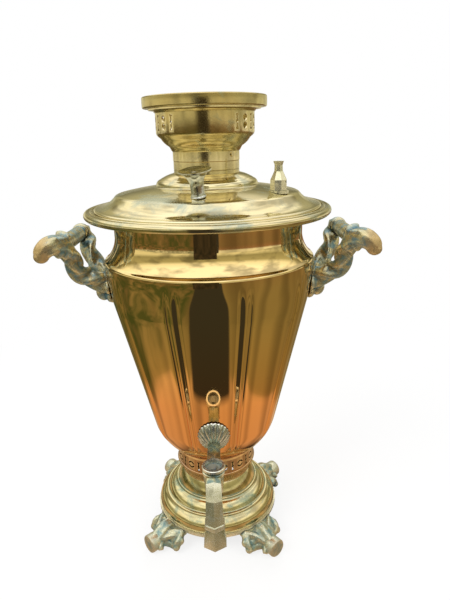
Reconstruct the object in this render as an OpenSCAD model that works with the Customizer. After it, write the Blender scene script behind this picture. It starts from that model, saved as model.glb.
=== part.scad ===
// Charcoal samovar: a tapered, fluted brass urn on a spun pedestal with four
// cast feet. A fire tube runs up its middle, from the grate in the neck to the
// crown that carries the teapot. Millimetres, Z up, the origin on the table
// under the middle of the fire tube, the tap towards -Y.

/* [Sheet metal] */
// Thickness of the spun sheet of the lid, the crown, the neck and the pedestal
sheet = 1.4; // [1.1:0.1:1.8]
// Thickness of the heavier sheet of the tank
wall = 1.6; // [1.4:0.1:2.2]
// Film of solder between two fixed pieces
seam = 0.1; // [0.05:0.05:0.2]
// Clearance round a piece that lifts off
lift_gap = 0.6; // [0.4:0.1:0.9]
// Gap under a piece that lifts off, where it sits down on its seat
seat_gap = 0.2; // [0.1:0.05:0.3]

/* [Feet] */
// Diameter of the round peg that a foot ends in
foot_d = 21; // [19:0.5:24]
// Distance from the upright axis to the face of a peg
foot_reach = 106; // [102:0.5:112]
// Length of a peg
foot_l = 11; // [9:0.5:13]
// Depth of the flat on which a peg stands
foot_flat = 0.4; // [0.2:0.1:0.8]
// Turn of the four feet about the upright axis, away from the diagonals
foot_turn = -4.5; // [-8:0.5:8]
// Width of a leg where it leaves the frame
leg_w = 52; // [44:1:60]

/* [Base frame] */
// Height of the frame above the table
frame_lift = 21; // [19:0.5:23]
// Thickness of the cast frame ring
frame_t = 3.5; // [3:0.5:5]
// Radius of the frame ring
frame_r = 73.5; // [73.5:0.5:77]
// Radius of the hole in the frame ring
frame_bore_r = 60; // [54:1:63]

/* [Pedestal] */
// Radius of the lower, widest roll
roll_low_r = 72; // [70:0.5:72.5]
// Radius of the middle roll
roll_mid_r = 59.5; // [57:0.5:60.5]
// Radius of the upper dome
dome_low_r = 48.5; // [47:0.5:50]
// Radius where the pedestal meets the neck
waist_r = 41.5; // [40:0.5:42.5]
// Height of the lower roll
roll_low_h = 17.5; // [16:0.5:20]
// Height of the middle roll
roll_mid_h = 12.5; // [11:0.5:15]
// Height of the upper dome
dome_h = 17.5; // [15:0.5:21]
// Radius of the wire beads between the rolls
bead_r = 1.2; // [0.9:0.1:1.5]

/* [Neck] */
// Radius of the pierced neck
neck_r = 46; // [45:0.5:48]
// Height of the flared foot of the neck
neck_foot_h = 14; // [12:0.5:17]
// Height of the pierced band of the neck
neck_band_h = 21.5; // [20:0.5:25]
// Number of cut-outs round the neck
neck_cuts = 28; // [22:2:30]
// Height of a cut-out in the neck
neck_cut_h = 12; // [10:0.5:14]

/* [Tank] */
// Height of the tank wall
tank_h = 282.5; // [260:0.5:300]
// Radius of the flat bottom of the tank
tank_foot_r = 48; // [47.5:0.5:50]
// Radius of the tank where its taper starts
taper_low_r = 72.5; // [69:0.5:75]
// Height at which the taper starts, above the tank's bottom
taper_low_h = 33.5; // [30:0.5:36]
// Radius of the tank where its taper ends
taper_top_r = 108.5; // [105:0.5:110]
// Height at which the taper ends, above the tank's bottom
taper_top_h = 187.5; // [180:0.5:195]
// Radius of the shoulder, the widest part of the tank
shoulder_r = 112.6; // [111:0.2:115]
// Height of the shoulder above the tank's bottom
shoulder_h = 230.5; // [225:0.5:236]
// Radius of the mouth, above the shoulder
mouth_r = 99.8; // [98:0.2:102]
// Height of the straight part of the mouth
mouth_h = 27; // [24:0.5:30]
// Number of flat panels round the tank
panels = 10; // [8:1:12]
// Radius of the round rib between two panels
rib_r = 2.6; // [2:0.1:3.5]
// Height by which a rib stands out of the wall
rib_rise = 0.8; // [0.4:0.1:1.2]
// Radius of the groove on each side of a rib
groove_r = 3.2; // [2.5:0.1:4]
// Depth of such a groove
groove_depth = 0.6; // [0.3:0.1:0.8]
// Turn between a rib and the groove beside it
groove_step = 3; // [2.6:0.1:3.6]

/* [Fire tube] */
// Outer radius of the fire tube over the grate
fire_r = 38; // [35:0.5:40]
// Outer radius of the flue, the narrow upper end of the fire tube
flue_r = 28.5; // [25:0.5:29]
// Thickness of the fire tube
fire_wall = 1.5; // [1.2:0.1:2.5]
// Height above the tank's bottom at which the fire tube starts to narrow
fire_taper_h = 215; // [190:1:225]
// Height of the narrowing part of the fire tube
fire_taper_l = 65; // [50:1:68]
// Thickness of the grate
grate_t = 3; // [2:0.5:5]
// Number of slots in the grate
grate_slots = 7; // [5:2:9]
// Width of a slot in the grate
grate_slot_w = 4.5; // [3:0.5:5]

/* [Top ring] */
// Radius over the wired edge of the top ring
ring_r = 129; // [127:0.5:133]
// Radius of the wired edge itself
ring_wire_r = 3.8; // [3:0.1:4.4]
// Depth of the sleeve with which the ring sits in the mouth
ring_sleeve_h = 16; // [12:1:20]

/* [Lid] */
// Radius of the lid
lid_r = 118.4; // [116:0.2:119.6]
// Radius of the lid's shoulder, where its slope turns flat
lid_shoulder_r = 96.3; // [92:0.1:99]
// Height of the lid's shoulder above its rim
lid_shoulder_h = 13.4; // [12:0.2:15]
// Radius of the small dome round the collar
lid_dome_r = 53.5; // [50:0.5:57]
// Height of the foot of that dome above the lid's rim
lid_dome_h = 21.8; // [20:0.2:24]
// Height of the lid over its rim, up to the collar
lid_h = 34.6; // [33:0.2:38]
// Depth of the skirt that centres the lid in the top ring
lid_skirt_h = 8; // [5:0.5:12]

/* [Collar] */
// Outer radius of the collar that carries the crown
collar_r = 34; // [33:0.2:35]
// Height of the collar above the lid
collar_h = 12.2; // [10:0.2:15]
// Height of the spigot inside the crown's foot
spigot_h = 7; // [5:0.5:8.5]
// Thickness of the collar and of its spigot
collar_wall = 2; // [1.5:0.1:2.2]
// Height of the flue's end above the collar's shoulder
flue_rise = 8; // [6:0.5:9]

/* [Crown] */
// Radius of the crown's pierced wall
crown_r = 50; // [47:0.5:52]
// Radius over the crown's rim band
crown_rim_r = 62.4; // [60:0.2:66]
// Height of the rim band
crown_rim_h = 9.4; // [8:0.2:11]
// Height of the crown's foot, up to where it widens
crown_foot_h = 10; // [9.5:0.5:12]
// Height of the widening part of the crown
crown_flare_h = 17; // [15:0.5:20]
// Height of the pierced wall
crown_wall_h = 19; // [17:0.5:22]
// Height of the step from the wall up to the rim's ledge
crown_step_h = 5.6; // [4:0.2:8]
// Number of places for cut-outs round the crown
crown_cuts = 28; // [26:2:30]
// Number of cut-outs in each of the two groups
crown_group = 9; // [5:2:11]
// Height of a cut-out in the crown
crown_cut_h = 14.5; // [12:0.5:16]

/* [Tap] */
// Height of the tap's axis above the tank's bottom
tap_h = 42; // [38:0.5:52]
// Distance from the upright axis to the middle of the tap's barrel
tap_reach = 124; // [118:0.5:130]
// Circumscribed radius of the six-sided tube
tap_tube_r = 7.6; // [7:0.1:8.5]
// Radius of the shank that goes through the wall
shank_r = 5.5; // [5:0.1:6]
// Radius of the water way through the shank and the plug
water_r = 3; // [2:0.1:3.2]
// Drop of the water way below the tap's axis
water_drop = 2; // [1.5:0.1:2.4]
// Radius of the barrel's rim
barrel_rim_r = 11.4; // [10.8:0.1:12.5]
// Height of the barrel's rim above the tap's axis
barrel_up = 8; // [7:0.2:9.5]
// Depth of the barrel below the tap's axis
barrel_down = 21.5; // [18:0.5:24]
// Radius of the plug at its top
plug_top_r = 8.3; // [7.8:0.1:8.8]
// Radius of the plug at the barrel's foot
plug_low_r = 6.6; // [6:0.1:7]
// Running clearance round the plug
plug_gap = 0.05; // [0.03:0.01:0.1]
// Depth of the plug's top below the barrel's rim
plug_sink = 4; // [3:0.2:4.5]
// Distance from the barrel's middle to the middle of the spout's mouth
spout_out = 24.5; // [22:0.5:28]
// Drop from the tap's axis to the spout's mouth
spout_drop = 62.5; // [56:0.5:68]
// Circumscribed radius of the spout under its shoulder
spout_r = 9; // [8.4:0.1:10]
// Circumscribed radius of the spout's mouth
mouth_tip_r = 12.6; // [11.6:0.1:14]
// Radius of the channel down the spout
channel_r = 4.2; // [3.6:0.1:4.6]
// Half the width of the shell-shaped plate
shell_w = 15; // [14:0.5:18]
// Half the height of the shell-shaped plate
shell_h = 20; // [18:0.5:23]

/* [Handles] */
// Distance from the upright axis to the axis of a grip
grip_reach = 148; // [146:0.5:156]
// Height of the grips' axis above the tank's bottom
grip_h = 253; // [250:0.5:262]
// Length of a grip
grip_l = 68; // [62:1:76]
// Radius of a grip in its middle
grip_r = 8.4; // [7.5:0.1:9.5]
// Height of the handle's root on the tank wall, above the tank's bottom
root_h = 207; // [203:0.5:212]
// Radius of an arm at its slimmest
arm_r = 9; // [8:0.2:10]
// Radius of the knob in which an arm ends
arm_knob_r = 7.4; // [6.5:0.1:8.5]
// Radius of the rod through a grip
rod_r = 2.5; // [2:0.1:3]
// Radius of the studs that hold a handle to the wall
stud_r = 3; // [2.5:0.1:3.5]

/* [Lid fittings] */
// Radius of the disc of a lid knob
knob_r = 15; // [13:0.5:17]
// Height of a lid knob
knob_h = 25; // [22:0.5:29]
// Radius of a lid knob's stem
knob_stem_r = 7; // [6:0.2:8]
// Distance from the upright axis to a lid knob
knob_reach = 78; // [74:0.5:84]
// Turn of the pair of knobs about the upright axis
knob_turn = -4.6; // [-10:0.2:10]
// Sideways lean of a knob
knob_lean = 5; // [0:1:8]
// Height of the steam vent's cap
vent_h = 27; // [24:0.5:32]
// Circumscribed radius of the cap's foot
vent_r = 8.4; // [8:0.1:10]
// Radius of the vent's seat tube
vent_seat_r = 4.5; // [4:0.1:5]
// Distance from the upright axis to the vent
vent_reach = 82.5; // [78:0.5:87]
// Turn of the vent about the upright axis, from the tap towards the right
vent_turn = 58; // [40:1:80]

/* [Hidden] */
$fn = 96;
small_fn = 40;

// Levels, from the table up
frame_z = frame_lift;
pedestal_z = frame_z + frame_t + seam;
groove_z = pedestal_z + roll_low_h;
dome_z = groove_z + roll_mid_h;
neck_z = dome_z + dome_h;
band_z = neck_z + neck_foot_h;
tank_z = band_z + neck_band_h;
taper_low_z = tank_z + taper_low_h;
taper_top_z = tank_z + taper_top_h;
shoulder_z = tank_z + shoulder_h;
tank_top_z = tank_z + tank_h;
ring_z = tank_top_z + seam + wall;
lid_z = ring_z + seat_gap;
collar_z = lid_z + lid_h;
crown_seat_z = collar_z + collar_h;
crown_z = crown_seat_z + seat_gap;
flue_top_z = crown_seat_z + flue_rise;
tap_z = tank_z + tap_h;
grip_z = tank_z + grip_h;
root_z = tank_z + root_h;

// The taper of the tank wall
slope = atan2(taper_top_r - taper_low_r, taper_top_z - taper_low_z);
function tank_r(z) = taper_low_r + (z - taper_low_z) * tan(slope);

// Colours of the metals
brass = "goldenrod";
dark_brass = "darkkhaki";
copper = "chocolate";
patina = "cadetblue";
nickel = "lightslategray";
iron = "dimgray";
leather = "saddlebrown";

// Points on the arc round c, from angle a0 to a1
function arc(c, r, a0, a1, n = 8) =
    [for (i = [0:n]) let (a = a0 + (a1 - a0) * i / n) c + r * [cos(a), sin(a)]];
// Points on a shallow bow from p to q, which stands h off its chord to the right
function bow(p, q, h, n = 6) =
    [for (i = [0:n])
        let (t = i / n, d = q - p, m = [d[1], -d[0]] / norm(d))
        p + d * t + m * (4 * h * t * (1 - t))];
// A list without its first entry
function rest(v) = [for (i = [1:len(v) - 1]) v[i]];
// The line t to the left of the line pts
function inset(pts, t) =
    [for (i = [0:len(pts) - 1])
        let (d = pts[min(i + 1, len(pts) - 1)] - pts[max(i - 1, 0)])
        pts[i] + t * [-d[1], d[0]] / norm(d)];
function reversed(v) = [for (i = [len(v) - 1:-1:0]) v[i]];

// Sheet of thickness t spun on the outer line pts
module spun(pts, t) {
    rotate_extrude() polygon(concat(pts, reversed(inset(pts, t))));
}

// Solid turned on the line pts, from its first point's height to its last's
module turned(pts) {
    rotate_extrude()
        polygon(concat([[0, pts[0][1]]], pts, [[0, pts[len(pts) - 1][1]]]));
}

// Upright tube from z0 to z1
module tube(r_out, r_in, z0, z1) {
    rotate_extrude()
        polygon([[r_in, z0], [r_out, z0], [r_out, z1], [r_in, z1]]);
}

// Round wire laid in a ring
module wire_ring(ring, z, r) {
    rotate_extrude() translate([ring, z]) circle(r = r, $fn = small_fn);
}

// Rod towards the tap, from distance y0 to y1, at height z
module rod_out(y0, y1, z, r, fn = small_fn) {
    translate([0, -y0, z]) rotate([90, 0, 0]) cylinder(r = r, h = y1 - y0, $fn = fn);
}

// Smooth line through the control points of P, with n steps from each to the next
function between(a, b, c, d, t) =
    0.5 * (2 * b + (c - a) * t + (2 * a - 5 * b + 4 * c - d) * t * t
        + (3 * b - a - 3 * c + d) * t * t * t);
function smooth(P, n) =
    let (e = len(P) - 1)
    [for (i = [0:e - 1]) for (k = [0:(i == e - 1 ? n : n - 1)])
        between(P[max(i - 1, 0)], P[i], P[i + 1], P[min(i + 2, e)], k / n)];

// Lobed bar swept along points [x, y, z, radius], with `lobes` lobes that turn by
// `twist` on the way and stand out by the share `rise`
module swept(path, sides, lobes, rise, twist) {
    n = len(path);
    function at(i) = [path[i][0], path[i][1], path[i][2]];
    function way(i) = let (d = at(min(i + 1, n - 1)) - at(max(i - 1, 0))) d / norm(d);
    function side(i) = let (c = cross(way(i), [0, 1, 0])) c / norm(c);
    points = [for (i = [0:n - 1])
        let (s = side(i), u = cross(s, way(i)))
        for (k = [0:sides - 1])
            let (a = 360 * k / sides,
                 r = path[i][3] * (1 + rise * cos(lobes * (a - twist * i / (n - 1)))))
            at(i) + r * (cos(a) * s + sin(a) * u)];
    skin = [for (i = [0:n - 2]) for (k = [0:sides - 1])
        let (j = (k + 1) % sides)
        each [[i * sides + k, i * sides + j, (i + 1) * sides + j],
              [i * sides + k, (i + 1) * sides + j, (i + 1) * sides + k]]];
    first = [for (k = [1:sides - 2]) [0, k + 1, k]];
    last = [for (k = [1:sides - 2])
        [(n - 1) * sides, (n - 1) * sides + k, (n - 1) * sides + k + 1]];
    polyhedron(points = points, faces = concat(skin, first, last));
}

// ---------------------------------------------------------------- base

foot_z = foot_d / 2 - foot_flat;
leg_root_r = frame_r + 0.2;
tab_t = 3.4;
screw_r = 2;
screw_at = frame_bore_r + 7;

// One cast foot, at turn a: leg, leaf lobes, peg and the tab under the frame
module foot(a) {
    peg_from = foot_reach - foot_l;
    lobe_w = 0.42 * leg_w;
    mid = leg_root_r + 10;
    color(patina) rotate([0, 0, a - 90]) difference() {
        union() {
            translate([peg_from, 0, foot_z]) rotate([0, 90, 0])
                cylinder(r = foot_d / 2, h = foot_l);
            // the wide root of the leg, along the frame
            hull() for (s = [-1, 1]) {
                translate([leg_root_r - 9, s * (leg_w / 2 - 2), frame_z - tab_t + 0.4])
                    cube([6, 4, 3.5], center = true);
                translate([mid - 5, s * lobe_w * 0.72, frame_z - 3])
                    sphere(r = 4.6, $fn = 16);
            }
            // the back of the leg, from the frame down to the peg
            hull() {
                for (s = [-1, 1]) translate([mid - 5, s * lobe_w * 0.6, frame_z - 2])
                    sphere(r = 4.6, $fn = 16);
                translate([leg_root_r + 3, 0, frame_z + 1]) sphere(r = 4.6, $fn = 16);
                translate([peg_from + 2, 0, foot_z + 0.6]) sphere(r = 9, $fn = 20);
            }
            // leaf lobes on both sides
            for (s = [-1, 1]) {
                hull() {
                    translate([mid - 5, s * lobe_w * 0.72, frame_z - 3])
                        sphere(r = 4.2, $fn = 16);
                    translate([mid - 1, s * lobe_w, foot_z - 1.5])
                        sphere(r = 4, $fn = 16);
                    translate([mid + 3, s * lobe_w * 0.3, foot_z])
                        sphere(r = 4, $fn = 16);
                }
                hull() {
                    translate([peg_from - 3, s * 5, foot_z + 1])
                        sphere(r = 4.5, $fn = 16);
                    translate([peg_from + 1, s * lobe_w * 0.52, foot_z - 4])
                        sphere(r = 3, $fn = 16);
                }
            }
            // tab that lies under the frame
            translate([screw_at - 6, -9, frame_z - tab_t - seam])
                cube([leg_root_r + 4 - screw_at + 6, 18, tab_t]);
        }
        // room for the frame and the lower roll
        translate([0, 0, frame_z - seam]) cylinder(r = leg_root_r, h = 30);
        translate([screw_at, 0, frame_z - tab_t - 8])
            cylinder(r = screw_r + seam, h = tab_t + 10, $fn = small_fn);
        translate([screw_at, 0, frame_z - tab_t - seam - 8])
            cylinder(r = 2 * screw_r + 0.4, h = 8, $fn = small_fn);
        translate([0, -2 * foot_d, -10]) cube([foot_reach + 10, 4 * foot_d, 10]);
    }
}

function foot_angle(i) = foot_turn + 45 + 90 * i;

module foot_front_right() { foot(foot_angle(0)); }
module foot_back_right() { foot(foot_angle(1)); }
module foot_back_left() { foot(foot_angle(2)); }
module foot_front_left() { foot(foot_angle(3)); }

module foot_screws() {
    head_h = 2.4;
    color(iron) for (i = [0:3]) rotate([0, 0, foot_angle(i) - 90])
        translate([screw_at, 0, frame_z - tab_t - 2 * seam]) {
            translate([0, 0, -head_h]) cylinder(r = 2 * screw_r, h = head_h, $fn = small_fn);
            cylinder(r = screw_r, h = tab_t + frame_t, $fn = small_fn);
        }
}

module base_frame() {
    color(dark_brass) difference() {
        tube(frame_r, frame_bore_r, frame_z, frame_z + frame_t);
        for (i = [0:3]) rotate([0, 0, foot_angle(i) - 90])
            translate([screw_at, 0, frame_z - 1])
                cylinder(r = screw_r + seam, h = frame_t + 2, $fn = small_fn);
    }
}

// Outer line of the pedestal, from the frame up to the neck
function pedestal_line() = concat(
    bow([roll_low_r - 1, pedestal_z], [roll_low_r, pedestal_z + 0.3 * roll_low_h], 0.4, 4),
    rest(bow([roll_low_r, pedestal_z + 0.3 * roll_low_h], [roll_low_r - 7, groove_z - 1.6], 1.4)),
    [[roll_low_r - 7.6, groove_z - 0.2], [roll_mid_r + 2, groove_z]],
    bow([roll_mid_r, groove_z + 3], [dome_low_r + 2.5, dome_z - 0.6], 1.3),
    [[dome_low_r + 1.2, dome_z]],
    bow([dome_low_r, dome_z + 2.4], [waist_r, neck_z - seam], 0.5));

module base_pedestal() {
    color(dark_brass) union() {
        spun(pedestal_line(), sheet);
        wire_ring(roll_low_r - 8.2, groove_z + 0.2, bead_r);
        wire_ring(roll_mid_r + 0.2, groove_z + 1.6, bead_r);
        wire_ring(dome_low_r + 0.4, dome_z + 1.2, bead_r);
    }
}

// ---------------------------------------------------------------- neck

neck_cut_z = band_z + neck_band_h * 0.42;
neck_step = 360 / neck_cuts;

// Slot with flared ends, cut through a wall of radius r in the direction of X
module slot_cut(r, h, w) {
    translate([r - 6, -w / 2, -h / 2]) cube([12, w, h]);
    for (s = [-1, 1]) translate([r - 6, -w, s * (h / 2 - w / 2) - w / 2])
        cube([12, 2 * w, w]);
    translate([r - 6, 0, 0]) rotate([0, 90, 0])
        cylinder(r = 0.9 * w, h = 12, $fn = small_fn);
}

// Ring slot that is left whole at its sides, cut the same way
module ring_cut(r, h, w) {
    translate([r - 6, 0, 0]) rotate([0, 90, 0]) difference() {
        cylinder(r = h / 2, h = 12, $fn = small_fn);
        translate([0, 0, -1]) cylinder(r = h / 2 - w, h = 14, $fn = small_fn);
        translate([-w / 2, -h, -1]) cube([w, 2 * h, 14]);
    }
}

module neck_gallery() {
    line = concat(
        bow([waist_r - 0.2, neck_z], [neck_r, band_z], -0.8, 4),
        [[neck_r, tank_z - seam]]);
    color("rosybrown") difference() {
        union() {
            spun(line, sheet);
            wire_ring(neck_r - 0.2, band_z, bead_r + 0.5);
            tube(neck_r + 1.4, neck_r - sheet, tank_z - seam - 2.6, tank_z - seam);
        }
        for (i = [0:2:neck_cuts - 1]) {
            rotate([0, 0, -90 + neck_step * i]) translate([0, 0, neck_cut_z])
                slot_cut(neck_r, neck_cut_h, 1.5);
            rotate([0, 0, -90 + neck_step * (i + 1)]) translate([0, 0, neck_cut_z])
                ring_cut(neck_r, 0.72 * neck_cut_h, 1.7);
        }
    }
}

// ---------------------------------------------------------------- tank

floor_hole_r = fire_r + seam;
lip_r = neck_r - sheet - 1;

// Outer line of the tank, from the edge of its bottom up to its mouth
function tank_line() = concat(
    [[lip_r, tank_z]],
    bow([tank_foot_r, tank_z], [taper_low_r, taper_low_z], 2.5),
    bow([taper_top_r, taper_top_z], [shoulder_r, shoulder_z], 1),
    bow([shoulder_r - 1.4, shoulder_z + 3.2],
        [mouth_r, tank_top_z - mouth_h], -2),
    [[mouth_r, tank_top_z]]);

// Everything outside the inner face of the tank is cut away with this
module tank_inside(gap = 0) {
    line = inset(tank_line(), wall + gap);
    turned(concat([[lip_r, tank_z + wall + gap]], rest(line), [[mouth_r - wall - gap, tank_top_z + 1]]));
}

module tank_outside(gap = 0) {
    turned(inset(tank_line(), -gap));
}

// Places its children on the taper at turn a, with their Z up the wall
module up_wall(a, z) {
    rotate([0, 0, a]) translate([tank_r(z), 0, z]) rotate([0, slope, 0]) children();
}

flute_low_z = taper_low_z - 2;
flute_top_z = taper_top_z + 3;
flute_l = (flute_top_z - flute_low_z) / cos(slope);
hole_z = [root_z - 16, root_z + 12];

mouth_low_z = tank_top_z - mouth_h - 10;

module tank_wall() {
    step = 360 / panels;
    color(brass) difference() {
        union() {
            difference() {
                tank_outside();
                translate([0, 0, mouth_low_z]) cylinder(r = shoulder_r + 10, h = tank_h);
            }
            for (i = [0:panels - 1]) up_wall(-90 + (i + 0.5) * step, flute_low_z)
                translate([rib_rise - rib_r, 0, 0])
                    cylinder(r = rib_r, h = flute_l, $fn = small_fn);
        }
        for (i = [0:panels - 1], s = [-1, 1])
            up_wall(-90 + (i + 0.5) * step + s * groove_step, flute_low_z + 3)
                translate([groove_r - groove_depth, 0, 0])
                    cylinder(r = groove_r, h = flute_l - 6, $fn = small_fn);
        tank_inside();
        translate([0, 0, tank_z - 1]) cylinder(r = lip_r, h = wall + 2);
        rod_out(tank_r(tap_z) - 20, tank_r(tap_z) + 20, tap_z, shank_r + seam);
        for (z = hole_z) translate([-shoulder_r - 5, 0, z]) rotate([0, 90, 0])
            cylinder(r = stud_r + seam, h = 2 * shoulder_r + 10, $fn = small_fn);
    }
}

// The mouth of the tank, soldered on above its shoulder
module tank_mouth() {
    color(brass) difference() {
        intersection() {
            tank_outside();
            translate([0, 0, mouth_low_z + seam]) cylinder(r = shoulder_r + 10, h = tank_h);
        }
        tank_inside();
    }
}

floor_z = tank_z + wall + seam;

module tank_floor() {
    color(brass) tube(tank_foot_r - 1, floor_hole_r, floor_z, floor_z + wall);
}

// ---------------------------------------------------------------- fire tube

tube_foot_z = floor_z + wall + seam;
grate_lip_t = 2;

fire_taper_z = tank_z + fire_taper_h;

module fire_tube() {
    color(copper) union() {
        tube(fire_r, fire_r - fire_wall, tank_z + 0.5, fire_taper_z);
        tube(fire_r + 5, fire_r - fire_wall / 2, tube_foot_z, tube_foot_z + fire_wall);
        tube(fire_r - fire_wall / 2, fire_r - fire_wall - 3,
            tank_z + 0.5, tank_z + 0.5 + grate_lip_t);
    }
}

// The narrow upper end of the fire tube, up to the crown
module flue_tube() {
    color(copper) spun([
        [fire_r, fire_taper_z + seam], [fire_r, fire_taper_z + 5],
        [flue_r, fire_taper_z + fire_taper_l],
        [flue_r, flue_top_z]
    ], fire_wall);
}

module fire_grate() {
    grate_r = fire_r - fire_wall - 0.4;
    z = tank_z + 0.5 + grate_lip_t + seam;
    pitch = 1.7 * grate_slot_w;
    color(iron) difference() {
        translate([0, 0, z]) cylinder(r = grate_r, h = grate_t);
        for (i = [0:grate_slots - 1]) {
            x = (i - (grate_slots - 1) / 2) * pitch;
            half = sqrt(pow(grate_r - 4, 2) - x * x);
            translate([x - grate_slot_w / 2, -half + 1, z - 1])
                cube([grate_slot_w, 2 * half - 2, grate_t + 2]);
        }
    }
}

// ---------------------------------------------------------------- top ring

ring_bore = mouth_r - wall - seam - sheet;
plate_z = ring_z - wall;

module top_ring() {
    edge_r = ring_r - ring_wire_r;
    color(brass) union() {
        tube(edge_r, ring_bore, plate_z, ring_z);
        wire_ring(edge_r, ring_z - ring_wire_r + 0.6, ring_wire_r);
        wire_ring(lid_r + 2.8, ring_z, bead_r);
    }
}

// Sleeve under the top ring, inside the mouth of the tank
module ring_sleeve() {
    color(brass) tube(ring_bore + sheet, ring_bore, tank_top_z - ring_sleeve_h, plate_z - seam);
}

// ---------------------------------------------------------------- lid

// Outer line of the lid, from its rim up to the hole for the collar
function lid_line() = concat(
    [[lid_r, lid_z]],
    bow([lid_r, lid_z + 1.6], [lid_shoulder_r, lid_z + lid_shoulder_h], -2.4),
    bow([lid_shoulder_r - 5.6, lid_z + lid_shoulder_h + 2.3],
        [lid_dome_r + 0.5, lid_z + lid_dome_h], 0.45, 4),
    bow([lid_dome_r - 1, lid_z + lid_dome_h + 1.2],
        [lid_dome_r - 5.5, lid_z + 0.84 * lid_h], 1.1, 4),
    rest(bow([lid_dome_r - 5.5, lid_z + 0.84 * lid_h], [collar_r + seam + 0.55, collar_z], 0.5, 4)));

// Height of the lid's upper face at radius r, between its shoulder and its dome
function lid_top(r) =
    let (r0 = lid_shoulder_r - 5.6, r1 = lid_dome_r + 0.5,
         z0 = lid_z + lid_shoulder_h + 2.3, z1 = lid_z + lid_dome_h,
         t = (r0 - r) / (r0 - r1))
    z0 + (z1 - z0) * t + 4 * 0.45 * t * (1 - t);
lid_lean = atan2(lid_dome_h - lid_shoulder_h - 2.3, lid_shoulder_r - 6.1 - lid_dome_r);

knob_stud_r = 3;

// Places its children on the lid at turn a and radius r, with Z square to the lid
module on_lid(a, r, lean = 0) {
    rotate([0, 0, a - 90]) translate([r, 0, lid_top(r)])
        rotate([lean, lid_lean, 0]) children();
}

module lid_shell() {
    skirt_r = mouth_r - wall - seam - sheet - lift_gap;
    color(brass) difference() {
        union() {
            spun(lid_line(), sheet);
            tube(skirt_r, skirt_r - sheet, ring_z - lid_skirt_h,
                lid_z + lid_shoulder_h - 1.5);
        }
        for (a = [knob_turn, knob_turn + 180]) on_lid(a, knob_reach, knob_lean)
            translate([0, 0, -10]) cylinder(r = knob_stud_r + seam, h = 20, $fn = small_fn);
        rotate([0, 0, vent_turn - 90]) translate([vent_reach, 0, lid_top(vent_reach) - 10])
            cylinder(r = vent_seat_r + seam, h = 20, $fn = small_fn);
    }
}

module lid_collar() {
    bore = collar_r - collar_wall - lift_gap - 1.4;
    spigot_r = collar_r - sheet - lift_gap;
    color(dark_brass) rotate_extrude() polygon([
        [bore, collar_z - 6], [collar_r + 3, collar_z - 6],
        [collar_r + 3, collar_z - 4.4], [collar_r, collar_z - 4.4],
        [collar_r, crown_seat_z], [spigot_r, crown_seat_z],
        [spigot_r, crown_seat_z + spigot_h], [bore, crown_seat_z + spigot_h]
    ]);
}

// Trumpet knob, at the origin, with its stud through the lid
module trumpet_knob() {
    foot_lift = 0.3;
    line = concat(
        [[knob_stem_r - 0.2, foot_lift], [knob_stem_r - 0.6, knob_h * 0.3]],
        bow([knob_stem_r - 0.4, knob_h * 0.45], [knob_r - 1.2, knob_h - 1.6], -2.6),
        [[knob_r, knob_h - 1.2], [knob_r, knob_h - 0.3], [knob_r - 1.5, knob_h]]);
    turned(line);
    translate([0, 0, -8.6]) cylinder(r = knob_stud_r, h = 9.4, $fn = small_fn);
}

module lid_knob_front() {
    color(nickel) on_lid(knob_turn, knob_reach, knob_lean) trumpet_knob();
}

module lid_knob_back() {
    color(nickel) on_lid(knob_turn + 180, knob_reach, knob_lean) trumpet_knob();
}

module lid_knob_nuts() {
    color(iron) for (a = [knob_turn, knob_turn + 180]) on_lid(a, knob_reach, knob_lean)
        translate([0, 0, -sheet - 5]) difference() {
            cylinder(r = 2 * knob_stud_r, h = 3.8, $fn = 6);
            translate([0, 0, -1]) cylinder(r = knob_stud_r + seam, h = 6, $fn = small_fn);
        }
}

// ---------------------------------------------------------------- steam vent

vent_bore_r = 2;
vent_z = lid_top(vent_reach) + 1.8;
vent_seat_h = 12;

// Places its children at the vent, upright
module at_vent() {
    rotate([0, 0, vent_turn - 90]) translate([vent_reach, 0, 0]) children();
}

module vent_seat() {
    color(patina) at_vent() difference() {
        union() {
            translate([0, 0, vent_z - 6]) cylinder(r = vent_seat_r, h = 6 + vent_seat_h, $fn = small_fn);
            // the foot is cut to the slope of the lid
            intersection() {
                translate([0, 0, vent_z - 3]) cylinder(r = vent_r + 1.4, h = 3, $fn = small_fn);
                translate([0, 0, vent_z - 1.8 + seam]) rotate([0, lid_lean, 0])
                    translate([-20, -20, 0.15]) cube([40, 40, 10]);
            }
        }
        translate([0, 0, vent_z - 7]) cylinder(r = vent_bore_r, h = vent_seat_h + 8, $fn = small_fn);
    }
}

module vent_cap() {
    z0 = vent_z + seat_gap;
    color(patina) at_vent() difference() {
        union() {
            translate([0, 0, z0]) cylinder(r = vent_r, h = 0.36 * vent_h, $fn = 8);
            translate([0, 0, z0 + 0.36 * vent_h])
                cylinder(r1 = vent_r, r2 = 0.52 * vent_r, h = 0.3 * vent_h, $fn = 8);
            translate([0, 0, z0 + 0.66 * vent_h])
                cylinder(r1 = 0.52 * vent_r, r2 = 0.48 * vent_r, h = 0.2 * vent_h, $fn = 8);
            translate([0, 0, z0 + 0.86 * vent_h])
                cylinder(r1 = 0.48 * vent_r, r2 = 0.64 * vent_r, h = 0.14 * vent_h, $fn = 8);
        }
        translate([0, 0, z0 - 1])
            cylinder(r = vent_seat_r + lift_gap / 2, h = vent_seat_h + 2, $fn = small_fn);
        // steam hole in the side of the cap
        translate([0, 0, z0 + 0.3 * vent_h]) rotate([0, 90, 0])
            cylinder(r = 1.2, h = 2 * vent_r, $fn = small_fn);
    }
}

// ---------------------------------------------------------------- crown

crown_flare_z = crown_z + crown_foot_h;
crown_wall_z = crown_flare_z + crown_flare_h;
crown_step_z = crown_wall_z + crown_wall_h;
crown_rim_z = crown_step_z + crown_step_h;
crown_top_z = crown_rim_z + crown_rim_h;
crown_foot_r = collar_r + 0.3;

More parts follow.
